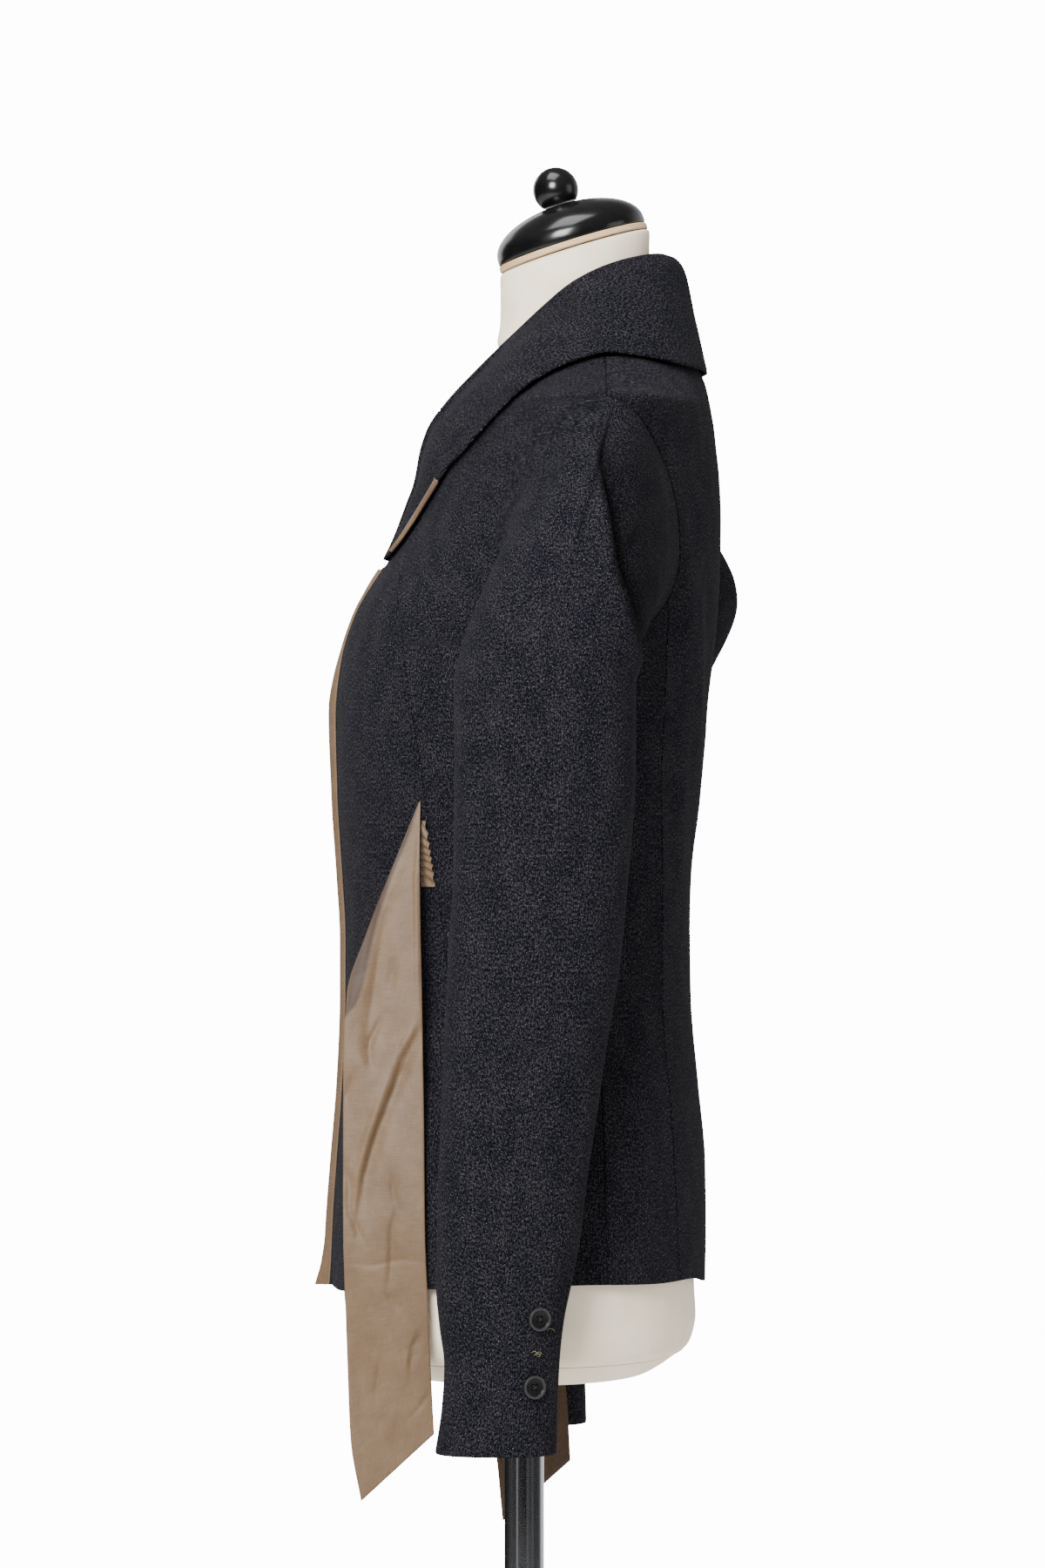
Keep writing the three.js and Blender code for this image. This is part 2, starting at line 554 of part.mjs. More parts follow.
const PANELS = {
  centre_front: {
    levels: [...LOW_LEVELS, ...ARM_LEVELS, ...SHOULDER_LEVELS, ...NECK_LEVELS],
    from: centreEdge,
    to: princess,
    columns: 4,
    edgeColumns: EDGE_COLUMNS,
  },
  side_front: {
    levels: [...LOW_LEVELS, ...ARM_LEVELS, ...SHOULDER_LEVELS, YOKE_TIP_Z],
    from: princess,
    to: sideFrontOuter,
    columns: 4,
  },
  side_back: {
    levels: [...LOW_LEVELS, ...ARM_LEVELS.slice(0, 4), BACK_SEAM_TIP_Z],
    from: (z) => (z < ARM_LOW_Z ? sideSeam(z) : armholeAngle(z, 1)),
    to: backSeam,
    columns: 3,
  },
  back: {
    levels: [...LOW_LEVELS, ...ARM_LEVELS, ...SHOULDER_LEVELS, ...NECK_LEVELS],
    from: backOuter,
    to: () => 90,
    columns: 6,
  },
};

// How much a column of the sleeve faces backwards, from 0 to 1
const rearward = (turn) => Math.max(0, Math.sin(degrees(turn))) ** 2;

// The sleeve's cloth at a column's turn: 0 is its outer side, 90 degrees its back
function tubePoint(hang, turn, z) {
  const row = Object.fromEntries(["front", "back", "inner", "outer"].map((k) => [k, along(SLEEVE, k, z)]));
  const section = {
    front: row.front,
    back: row.back,
    half: (row.outer - row.inner) / 2,
    centre: (row.front + row.back) / 2,
    square: SLEEVE_SQUARE,
  };
  const fall = (SLEEVE[0].z - z) / (SLEEVE[0].z - SLEEVE[SLEEVE.length - 1].z);
  const point = sectionPoint(section, turn, SLEEVE[0].z - (SLEEVE[0].z - z) * hang.drop);
  const push = hang.push * rearward(turn) * Math.exp(-(((SLEEVE[0].z - z) / PUSH_REACH) ** 2));
  point.x += (row.inner + row.outer) / 2 + hang.out * Math.min(1, fall * 3);
  point.y += hang.swing * fall + push;
  return point;
}

// How deep the sleeve's own fold lies at a place seen from the side
function foldDepth(y, z) {
  const behind = y - along(SLEEVE_FOLD, "y", z);
  if (behind < 0) return 0;
  const rise = Math.min(1, behind / FOLD_RISE);
  return along(SLEEVE_FOLD, "in", z) * rise * Math.exp(-Math.max(0, behind - FOLD_RISE) / FOLD_REACH);
}

const TURNS = range(ARM_STEPS).map((i) => (i * 360) / ARM_STEPS);

// Where a column of the sleeve lies: below the vent's top the slit's two edges are close together
const sleeveTurn = (column, z) =>
  column === VENT_COLUMN + 1 && z < VENT_TOP_Z ? TURNS[VENT_COLUMN] + VENT_GAP_TURN : TURNS[column];

function sleeveGrid(hang) {
  const cap = CAP_LEVELS.map((t, level) =>
    TURNS.map((turn) => {
      const hole = armhole(turn);
      const middle = v3(0, ARMHOLE.y, ARMHOLE.z);
      const start = torsoPoint(angleAtY(hole.z, hole.y), hole.z);
      const inward = middle.clone().setX(start.x).sub(start).normalize();
      start.addScaledVector(inward, SEAM);
      const end = tubePoint(hang, turn, SLEEVE[0].z);
      const bend = v3(
        lerp(start.x, end.x, CAP_BEND.x),
        lerp(start.y, end.y, CAP_BEND.y),
        lerp(start.z, end.z, CAP_BEND.z),
      );
      const point = start.clone().multiplyScalar((1 - t) ** 2);
      point.addScaledVector(bend, 2 * t * (1 - t)).addScaledVector(end, t * t);
      if (level === 0) return point;
      point.y += hang.puff * rearward(turn) * Math.sin(Math.PI * t);
      if (hang.puff === 0 && turn > 0 && turn < FOLD_LAST_TURN) {
        point.x -= foldDepth(point.y, point.z) * Math.min(1, t / FOLD_FADE) ** 2;
      }
      return point;
    }),
  );
  const tube = SLEEVE.map(({ z }) => TURNS.map((_, column) => tubePoint(hang, sleeveTurn(column, z), z)));
  return [...cap, ...tube].reverse();
}

function sleeveGeometry(hang) {
  const grid = sleeveGrid(hang);
  const ventRows = SLEEVE.filter((row) => row.z < VENT_TOP_Z).length;
  return cloth(grid, { closed: true, holds: (row, column) => row >= ventRows || column !== VENT_COLUMN });
}

// A piece that lies inside the sleeve behind the vent's slit
function underlapGeometry(hang) {
  const columns = range(UNDERLAP.lastColumn + 1).slice(UNDERLAP.firstColumn);
  const grid = UNDERLAP.heights.map((z) =>
    columns.map((column) => tubePoint(hang, sleeveTurn(column, z), z)),
  );
  const depth = WALL + 2 * LAID;
  return cloth(grid, { above: -depth, below: depth + UNDERLAP.thick });
}

// The collar's and lapels' rows as places: foot on the neckline, crest, outer edge
const ROLL_PLACES = ROLL.map((row, index) => {
  const frontFoot = (z) => torsoPoint(angleAtFrontX(z, along(NECKLINE, "x", z) - FOOT_INSET), z, -WALL / 2);
  const foot =
    row.footZ === undefined
      ? torsoPoint(row.footAngle, NECK_Z, -WALL / 2).add(v3(0, 0, FOOT_GAP))
      : frontFoot(row.footZ);
  const edge = torsoPoint(angleAtY(row.edgeZ, row.edgeY), row.edgeZ, EDGE_LIFT);
  const crest = v3(row.x, row.y, row.z);
  if (index === 0) [foot, edge].forEach((p) => p.setX(0));
  return {
    row: index,
    footX: foot.x, footY: foot.y, footZ: foot.z,
    crestX: crest.x, crestY: crest.y, crestZ: crest.z,
    edgeX: edge.x, edgeY: edge.y, edgeZ: edge.z,
    roll: row.roll,
    bulge: row.bulge,
  };
});

// The cloth's path from the neckline over the roll to the outer edge, at a place along the roll
function rollPath(at) {
  const value = (name) => along(ROLL_PLACES, name, at, "row");
  const place = (name) => v3(value(`${name}X`), value(`${name}Y`), value(`${name}Z`));
  const [foot, crest, edge] = ["foot", "crest", "edge"].map(place);
  const outward = edge.clone().sub(foot).setZ(0).normalize();
  const up = crest.clone().sub(foot);
  up.addScaledVector(outward, -up.dot(outward)).normalize();
  const roll = value("roll");
  const shoulder = (side) =>
    crest.clone().addScaledVector(outward, side * roll).addScaledVector(up, -ROLL_SHAPE.drop * roll);
  const [inside, outside] = [shoulder(-1), shoulder(1)];
  const fall = edge.clone().sub(outside);
  const lift = up.clone().addScaledVector(fall, -up.dot(fall) / fall.lengthSq()).normalize();
  const middle = outside.clone().add(edge).multiplyScalar(0.5).addScaledVector(lift, value("bulge"));
  return new THREE.CatmullRomCurve3([foot, inside, crest, outside, middle, edge], false, "centripetal");
}

const rollGrid = (from, to, rows) =>
  range(rows + 1).map((i) => rollPath(lerp(from, to, i / rows)).getPoints(ROLL_SHAPE.columns));

function collarGeometry() {
  const left = rollGrid(0, GORGE_ROW, ROLL_SHAPE.collarRows);
  const right = left.slice(1).map((row) => row.map((p) => v3(-p.x, p.y, p.z)));
  return cloth([...left.reverse(), ...right], { above: WALL / 2, below: WALL / 2 });
}

function lapelGeometry() {
  const grid = rollGrid(GORGE_ROW + ROLL_SHAPE.gorgeGap, ROLL.length - 1, ROLL_SHAPE.lapelRows);
  return cloth(grid.reverse(), { above: WALL / 2, below: WALL / 2 });
}

// The satin edge of the lapel, on top of the cloth
function lapelBindingGeometry() {
  const from = LAPEL_BINDING.from;
  const last = ROLL.length - 1 - LAPEL_BINDING.end;
  const grid = range(LAPEL_BINDING.rows + 1).map((i) => {
    const path = rollPath(lerp(from, last, i / LAPEL_BINDING.rows));
    const share = LAPEL_BINDING.width / path.getLength();
    return [1 - share, 1 - share / 2, 1].map((u) => path.getPointAt(u));
  });
  const base = WALL / 2 + LAID;
  return cloth(grid.reverse(), { above: base + SATIN, below: -base });
}

// The satin strip on the open front edge
function edgeBindingGeometry() {
  const strip = { ...PANELS.centre_front };
  strip.levels = strip.levels.filter((z) => z < BREAK_Z - 2);
  return panelGeometry(strip, { above: LAID + SATIN, below: -LAID, count: BINDING_COLUMNS + 1 });
}

// A sash end: its columns run from its front edge to its back edge
function sashGeometry(table) {
  const grid = table.map((row) =>
    range(SASH_COLUMNS + 1).map((i) => {
      const t = i / SASH_COLUMNS;
      return v3(row.out - row.turn * (1 - t), lerp(row.frontY, row.backY, t), lerp(row.frontZ, row.backZ, t));
    }),
  );
  return cloth(grid.reverse(), { above: SATIN / 2, below: SATIN / 2 });
}

function tabGeometry() {
  const [bottom, top] = [TAB[0].z, TAB[TAB.length - 1].z];
  const grid = (thick) =>
    range(TAB_ROWS + 1).map((i) => {
      const z = lerp(bottom, top, i / TAB_ROWS);
      const gather = TAB_GATHER.rise * (1 - Math.cos((2 * Math.PI * (z - bottom)) / TAB_GATHER.pitch));
      return [0, 0.5, 1].map((t) => {
        const y = lerp(along(TAB, "front", z), along(TAB, "back", z), t);
        return torsoPoint(angleAtY(z, y), z, LAID + gather + thick);
      });
    });
  return wallGeometry(grid(SATIN), grid(0), false, () => true);
}

// Solids of manifold-3d, for cutting the buttons' holes
const wasm = await Module();
wasm.setup();

function toSolid(geometry) {
  const bare = geometry.clone();
  bare.deleteAttribute("normal");
  bare.deleteAttribute("uv");
  const merged = mergeVertices(bare, 1e-4);
  return new wasm.Manifold(
    new wasm.Mesh({
      numProp: 3,
      vertProperties: merged.attributes.position.array,
      triVerts: new Uint32Array(merged.index.array),
    }),
  );
}

function toGeometry(solid) {
  const mesh = solid.getMesh();
  const geometry = new THREE.BufferGeometry();
  geometry.setAttribute("position", new THREE.BufferAttribute(mesh.vertProperties, 3));
  geometry.setIndex(new THREE.BufferAttribute(mesh.triVerts, 1));
  return geometry;
}

// A button lying face up, its back at the origin
function buttonGeometry() {
  const { radius, thick, rim, rimRise, bevel, dish, hole, spread } = BUTTON;
  const disc = turned(
    [
      { r: 0, h: 0 },
      { r: radius - bevel, h: 0 },
      { r: radius, h: bevel },
      { r: radius, h: thick },
      { r: radius - rim / 2, h: thick + rimRise },
      { r: radius - rim, h: thick },
      { r: 0, h: thick - dish },
    ],
    14,
  );
  let solid = toSolid(disc);
  for (const i of range(BUTTON_HOLES)) {
    const turn = degrees((360 * (i + 0.5)) / BUTTON_HOLES);
    const drill = new THREE.CylinderGeometry(hole, hole, 3 * thick, 6)
      .rotateX(degrees(90))
      .translate(spread * Math.cos(turn), spread * Math.sin(turn), thick);
    solid = solid.subtract(toSolid(drill));
  }
  return toGeometry(solid);
}

// The turn at which the sleeve's outer side lies at a place forward or back
const sleeveTurnAtY = (hang, z, y) => angleWhere((turn) => tubePoint(hang, turn, z).y, y, -90, 90);

// A button on the sleeve's outer side, its back just off the cloth
function placedButton(geometry, hang, row) {
  const turn = sleeveTurnAtY(LEFT_SLEEVE, row.z, row.y);
  const point = tubePoint(hang, turn, row.z);
  const across = tubePoint(hang, turn + 2, row.z).sub(tubePoint(hang, turn - 2, row.z));
  const upward = tubePoint(hang, turn, row.z + 3).sub(tubePoint(hang, turn, row.z - 3));
  const normal = across.cross(upward).normalize();
  const facing = new THREE.Quaternion().setFromUnitVectors(v3(0, 0, 1), normal);
  const seat = point.addScaledVector(normal, BUTTON_SEAT);
  return geometry.clone().applyQuaternion(facing).translate(seat.x, seat.y, seat.z);
}

// The padded form: low rows under the hem, then inside the jacket, then the neck
const FORM_TURNS = range(FORM_STEPS).map((i) => (i * 360) / FORM_STEPS);

function formGeometry() {
  const low = FORM_LOW.map((row) =>
    FORM_TURNS.map((a) => sectionPoint({ ...row, centre: 0, square: FORM_SQUARE }, a, row.z)),
  );
  const inside = FORM_LEVELS.map((z) =>
    FORM_TURNS.map((a) => {
      const depth = WALL + along(TORSO, "ease", z);
      return bareTorso(a, z).addScaledVector(torsoNormal(a, z), -depth);
    }),
  );
  const neckRing = (radius, height) =>
    FORM_TURNS.map((a) => {
      const [x, y] = [radius * Math.cos(degrees(a)), NECK.y + radius * Math.sin(degrees(a))];
      return v3(x, y, height(y));
    });
  const tilt = degrees(CAP_PLACE.tilt);
  const underBoard = CAP_PLACE.z - (RIM_BOARD.thick + 2 * LAID) / Math.cos(tilt);
  const neck = [
    ...NECK_RINGS.map((ring) => neckRing(NECK.radius + ring.wider, () => NECK.foot - ring.below)),
    neckRing(NECK.radius, (y) => underBoard + (y - CAP_PLACE.y) * Math.tan(tilt)),
  ];
  return loftGeometry([...low, ...inside, ...neck]);
}

function boardGeometry() {
  const bottomRow = FORM_LOW[0];
  const ring = (inset, z) => {
    const section = { centre: 0, square: FORM_SQUARE, half: bottomRow.half - inset };
    section.front = bottomRow.front + inset;
    section.back = bottomRow.back - inset;
    return FORM_TURNS.map((a) => sectionPoint(section, a, z));
  };
  const { top, middle, bottom, inset, taper } = BOARD;
  return loftGeometry([ring(taper, bottom), ring((inset + taper) / 2, middle), ring(inset, top)]);
}

// A turned piece on the neck's tilted axis
function onNeck(profile, segments) {
  return turned(profile, segments).rotateX(degrees(CAP_PLACE.tilt)).translate(0, CAP_PLACE.y, CAP_PLACE.z);
}

function knobProfile() {
  const foot = Math.asin((KNOB.foot - KNOB.centre) / KNOB.radius);
  const arc = range(KNOB.steps).map((i) => {
    const a = lerp(foot, Math.PI / 2, i / KNOB.steps);
    return { r: KNOB.radius * Math.cos(a), h: KNOB.centre + KNOB.radius * Math.sin(a) };
  });
  return [{ r: 0, h: KNOB.foot }, ...arc, { r: 0, h: KNOB.centre + KNOB.radius }];
}

const wool = new THREE.MeshStandardMaterial({ color: 0x2c2d33, roughness: 0.95 });
const satin = new THREE.MeshStandardMaterial({ color: 0x7d6a54, roughness: 0.45 });
const cream = new THREE.MeshStandardMaterial({ color: 0xe9e2d3, roughness: 0.85 });
const lacquer = new THREE.MeshStandardMaterial({ color: 0x0b0b0c, roughness: 0.25 });
const timber = new THREE.MeshStandardMaterial({ color: 0xb98f63, roughness: 0.6 });
const chrome = new THREE.MeshStandardMaterial({ color: 0xc8cacc, roughness: 0.12, metalness: 1 });
const horn = new THREE.MeshStandardMaterial({ color: 0x101012, roughness: 0.35 });

const blazer = new THREE.Group();

function add(name, geometry, material) {
  const mesh = new THREE.Mesh(geometry, material);
  mesh.name = name;
  blazer.add(mesh);
}

function addPair(name, geometry, material) {
  add(`${name}_left`, geometry, material);
  add(`${name}_right`, mirrored(geometry), material);
}

for (const [name, panel] of Object.entries(PANELS)) addPair(name, panelGeometry(panel), wool);
add("sleeve_left", sleeveGeometry(LEFT_SLEEVE), wool);
add("sleeve_right", mirrored(sleeveGeometry(RIGHT_SLEEVE)), wool);

add("vent_underlap_left", underlapGeometry(LEFT_SLEEVE), wool);
add("vent_underlap_right", mirrored(underlapGeometry(RIGHT_SLEEVE)), wool);
add("collar", collarGeometry(), wool);
addPair("lapel", lapelGeometry(), wool);
addPair("lapel_binding", lapelBindingGeometry(), satin);
addPair("front_binding", edgeBindingGeometry(), satin);
add("sash_left", sashGeometry(SASH_LEFT), satin);
add("sash_right", mirrored(sashGeometry(SASH_RIGHT)), satin);
addPair("slot_tab", tabGeometry(), satin);
const button = buttonGeometry();
for (const place of BUTTON_PLACES) {
  add(`button_${place.name}_left`, placedButton(button, LEFT_SLEEVE, place), horn);
  add(`button_${place.name}_right`, mirrored(placedButton(button, RIGHT_SLEEVE, place)), horn);
}

const { radius: boardRadius, thick: boardThick } = RIM_BOARD;
add("form_torso", formGeometry(), cream);
add("form_bottom_board", boardGeometry(), cream);
add(
  "neck_rim_board",
  onNeck(
    [
      { r: 0, h: -boardThick },
      { r: boardRadius, h: -boardThick },
      { r: boardRadius, h: 0 },
      { r: 0, h: 0 },
    ],
    28,
  ),
  timber,
);
add("neck_cap", onNeck(CAP_PROFILE, 28), lacquer);
add("neck_knob", onNeck(knobProfile(), 16), lacquer);
add(
  "stand_pole",
  new THREE.CylinderGeometry(POLE.radius, POLE.radius, POLE.top - POLE.bottom, 20)
    .rotateX(degrees(90))
    .translate(0, 0, (POLE.top + POLE.bottom) / 2),
  chrome,
);
add("stand_base", turned(BASE_PROFILE, 36), chrome);

export default blazer;
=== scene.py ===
"""Looks of a women's knitted wool blazer with satin trim, worn by a limbless dress form on a pole stand.

Sizes are millimetres, as on a maker's drawing, and turn into metres where a mesh is made. The wearer's
front faces -Y and the wearer's left is +X. The origin is on the floor under the pole. Angles round the
torso are in degrees: -90 is the centre front, 0 the wearer's left side and 90 the centre back.
"""

import logging
import math
from collections.abc import Callable, Sequence
from dataclasses import dataclass
from enum import Enum

import bpy
import numpy as np
from mathutils import Matrix


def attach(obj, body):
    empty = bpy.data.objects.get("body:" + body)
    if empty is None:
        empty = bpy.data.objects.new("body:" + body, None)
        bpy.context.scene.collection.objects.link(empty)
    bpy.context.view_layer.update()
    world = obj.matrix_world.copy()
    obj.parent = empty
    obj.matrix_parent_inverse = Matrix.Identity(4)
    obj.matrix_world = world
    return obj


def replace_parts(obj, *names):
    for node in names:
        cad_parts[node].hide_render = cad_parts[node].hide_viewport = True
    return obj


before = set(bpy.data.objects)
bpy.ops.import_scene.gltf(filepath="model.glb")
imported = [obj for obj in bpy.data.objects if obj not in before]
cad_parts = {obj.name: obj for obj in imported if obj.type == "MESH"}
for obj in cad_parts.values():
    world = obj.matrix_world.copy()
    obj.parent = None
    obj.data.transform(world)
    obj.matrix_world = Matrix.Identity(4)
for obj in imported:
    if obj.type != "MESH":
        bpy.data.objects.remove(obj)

log = logging.getLogger("blazer")
Array = np.ndarray
MM = 0.001
ROOT = "root"

# Cloth and seams
WALL = 2.0
SATIN = 1.2
LAID = 0.4
HEM_Z = 822.0
BREAK_Z = 1274.0
YOKE_Z = 1397.5
NECK_Z = 1418.0
CLOTH_STEP = 2.8
FAR_SIDE_CLOTH = (0.733, 0.411)  # where on the bolt the right side's pieces come from


class Side(Enum):
    """The wearer's two sides, with the sign of X on each."""

    LEFT = 1
    RIGHT = -1

    @property
    def label(self) -> str:
        """The side's word in the pieces' names."""
        return self.name.lower()


class Held(Enum):
    """How a sheet of cloth is held up."""

    DRAPED = "draped"
    HUNG = "hung"


class Table:
    """Rows of named sizes with a smooth curve between them that never overshoots a row."""

    def __init__(self, columns: str, rows: Sequence[Sequence[float]]) -> None:
        """Keeps the rows in rising order of the first column.

        Args:
            columns: The columns' names, with spaces between them; the first is the place.
            rows: One list of sizes a row.
        """
        ordered = sorted(rows, key=lambda row: row[0])
        values = np.array(ordered, float).T
        self.data = dict(zip(columns.split(), values))
        self.places = values[0]

    def at(self, column: str, place: Array | float) -> Array:
        """The size in a column at some places.

        Args:
            column: The column's name.
            place: Places between the rows.

        Returns:
            One size for each place.
        """
        x, y = self.places, self.data[column]
        slope = np.diff(y) / np.diff(x)
        before, after = slope[:-1], slope[1:]
        same = before * after > 0
        total = np.where(same, before + after, 1)
        middle = np.where(same, 2 * before * after / total, 0)
        tangent = np.concatenate([slope[:1], middle, slope[-1:]])
        place = np.asarray(place, float)
        i = np.clip(np.searchsorted(x, place, side="right") - 1, 0, len(x) - 2)
        step = x[i + 1] - x[i]
        t = np.clip((place - x[i]) / step, 0, 1)
        t2, t3 = t * t, t * t * t
        return (
            (2 * t3 - 3 * t2 + 1) * y[i]
            + (t3 - 2 * t2 + t) * step * tangent[i]
            + (3 * t2 - 2 * t3) * y[i + 1]
            + (t3 - t2) * step * tangent[i + 1]
        )


TORSO = Table(
    "z front back half centre square ease",
    [
        (822, -121, 114, 174, 0, 2.25, 5),
        (860, -120, 114.5, 173, 0, 2.25, 5),
        (900, -117.5, 114, 169, 0, 2.25, 5),
        (950, -114, 109.5, 159, 0, 2.2, 5),
        (1004, -112, 105, 146, 0, 2.15, 6),
        (1040, -112, 104.5, 141, 1, 2.15, 6),
        (1080, -114, 106, 141, 2, 2.15, 5.5),
        (1130, -117, 111, 146, 3, 2.25, 4.5),
        (1180, -118, 115.5, 151, 5, 2.3, 3.5),
        (1215, -115, 119.5, 154, 8, 2.25, 3.5),
        (1245, -106, 122, 157, 12, 2.2, 3.5),
        (1276, -87, 123.5, 161, 18, 2.1, 3.5),
        (1305, -69, 124, 166, 24, 2, 3.5),
        (1330, -60, 123, 172, 31, 1.95, 3.5),
        (1350, -53, 121, 178, 39, 1.88, 3.2),
        (1363, -48, 119.5, 182, 46, 1.85, 3.6),
        (1372, -43, 118, 181, 50, 1.85, 3),
        (1380, -37, 116.5, 160, 50, 1.85, 2),
        (1390, -29, 114, 132, 50, 1.85, 2.3),
        (1399, -23, 110, 108, 50, 1.9, 2.4),
        (1408, -19.5, 103, 83, 46, 1.95, 2.6),
        (1418, -18.5, 94, 62, 40, 2, 2.6),
    ],
)
PRINCESS = Table(
    "z y",
    [
        (822, -38),
        (925, -42),
        (1031, -47.5),
        (1080, -54),
        (1128, -60.3),
        (1182, -68.4),
        (1247, -77.5),
        (1268, -76.5),
        (1281, -73),
        (1300, -65),
        (1330, -53),
        (1357, -36),
        (1380, -8),
        (1390, 20),
        (1397.5, 50),
    ],
)
YOKE_TIP_Z = 1396.4
SIDE_SEAM = Table("z y", [(822, 51), (925, 48), (1040, 44), (1222, 40)])
BACK_SEAM = Table(
    "z y",
    [
        (822, 96),
        (925, 91),
        (1004, 85),
        (1080, 84),
        (1150, 85),
        (1222, 87.2),
        (1236.3, 88),
        (1252.8, 88.7),
    ],
)
BACK_SEAM_TIP_Z = 1249.0
NECKLINE = Table(
    "z x",
    [
        (1274, 0.3),
        (1296.8, 16),
        (1313, 22),
        (1327, 27),
        (1347, 33),
        (1361, 37),
        (1380, 43),
        (1395, 48),
        (1408, 54),
        (1418, 61),
    ],
)
EDGE_FLARE = Table(
    "z out",
    [
        (822, 11),
        (837, 7),
        (855, 5),
        (890, 4.5),
        (978, 3.5),
        (1127, 4),
        (1187, 5),
        (1205, 3.5),
        (1225, 1),
        (1252, 0.8),
        (1268, 2),
        (1276, 2),
    ],
)
FLARE_WIDTH = 13.0
HALF_GAP = 0.15  # between the two fronts at the centre

# The armhole, seen from the side: an egg, fuller at the back below
ARM_Y, ARM_Z, ARM_TALL, ARM_LEAN = 45.0, 1296.8, 74.8, 5.0
ARM_BACK, ARM_BACK_LOW, ARM_FRONT, ARM_FRONT_LOW = 50.0, 13.0, 62.0, 4.0
ARM_TOP_Z = ARM_Z + ARM_TALL
ARM_LOW_Z = ARM_Z - ARM_TALL


def polar(angle: Array, reach: Array, centre: Array, z: Array) -> Array:
    """Points at a reach from a section's centre.

    Args:
        angle: Directions, in degrees.
        reach: Distances from the centre.
        centre: The centre's Y.
        z: Heights.

    Returns:
        Points, with X, Y and Z last.
    """
    turn = np.radians(angle)
    return np.stack(
        np.broadcast_arrays(reach * np.cos(turn), centre + reach * np.sin(turn), z), axis=-1
    )


def unit(vectors: Array) -> Array:
    """The same vectors, one long."""
    return vectors / np.maximum(np.linalg.norm(vectors, axis=-1, keepdims=True), 1e-9)


def bump(distance: Array, wide: float) -> Array:
    """A soft rise that is 1 at no distance and fades within about two widths."""
    return np.exp(-((distance / wide) ** 2))


def smooth(low: float, high: float, value: Array) -> Array:
    """0 up to the low value, 1 from the high one on, with a soft step between them."""
    t = np.clip((value - low) / (high - low), 0, 1)
    return t * t * (3 - 2 * t)


def angle_where(measure: Callable[[Array], Array], value: Array, low: float, high: float) -> Array:
    """The angles at which a measure that rises with the angle reaches some values.

    Args:
        measure: Gives the measure at each of the angles.
        value: The values to reach.
        low: The first angle of the search.
        high: The last one.

    Returns:
        One angle for each value.
    """
    value = np.asarray(value, float)
    first, last = np.full(value.shape, float(low)), np.full(value.shape, float(high))
    for _ in range(30):
        middle = (first + last) / 2
        under = measure(middle) < value
        first, last = np.where(under, middle, first), np.where(under, last, middle)
    return (first + last) / 2


@dataclass(frozen=True)
class Crease:
    """A soft trough or ridge along a line of places on a piece, fading at both ends.

    Its width is multiplied by skew to the left of its way down.
    """

    places: tuple[tuple[float, float], ...]
    wide: float
    out: float
    skew: float = 1.0

    def rise(self, across: Array, up: Array) -> Array:
        """How far it moves the cloth at some places.

        Args:
            across: The places' first coordinate, in millimetres.
            up: Their second one.

        Returns:
            Distances outwards, negative in a trough.
        """
        ends = np.array(self.places, float)
        best = np.full(np.broadcast(across, up).shape, np.inf)
        share, wide = np.zeros(best.shape), np.full(best.shape, self.wide)
        stretches = len(ends) - 1
        for i, (a, b) in enumerate(zip(ends[:-1], ends[1:])):
            run = b - a
            t = ((across - a[0]) * run[0] + (up - a[1]) * run[1]) / float(run @ run)
            t = np.clip(t, 0, 1)
            gap = np.hypot(across - a[0] - t * run[0], up - a[1] - t * run[1])
            near = gap < best
            best = np.where(near, gap, best)
            share = np.where(near, (i + t) / stretches, share)
            beside = run[0] * (up - a[1]) - run[1] * (across - a[0])
            wide = np.where(near, np.where(beside > 0, self.wide * self.skew, self.wide), wide)
        fade = np.sin(np.pi * np.clip(share, 0.04, 0.96)) ** 0.7
        return self.out * np.exp(-((best / wide) ** 2)) * fade


def creased(creases: Sequence[Crease], across: Array, up: Array) -> Array:
    """The sum of some creases at some places."""
    total = np.zeros(np.broadcast(across, up).shape)
    for crease in creases:
        total = total + crease.rise(across, up)
    return total


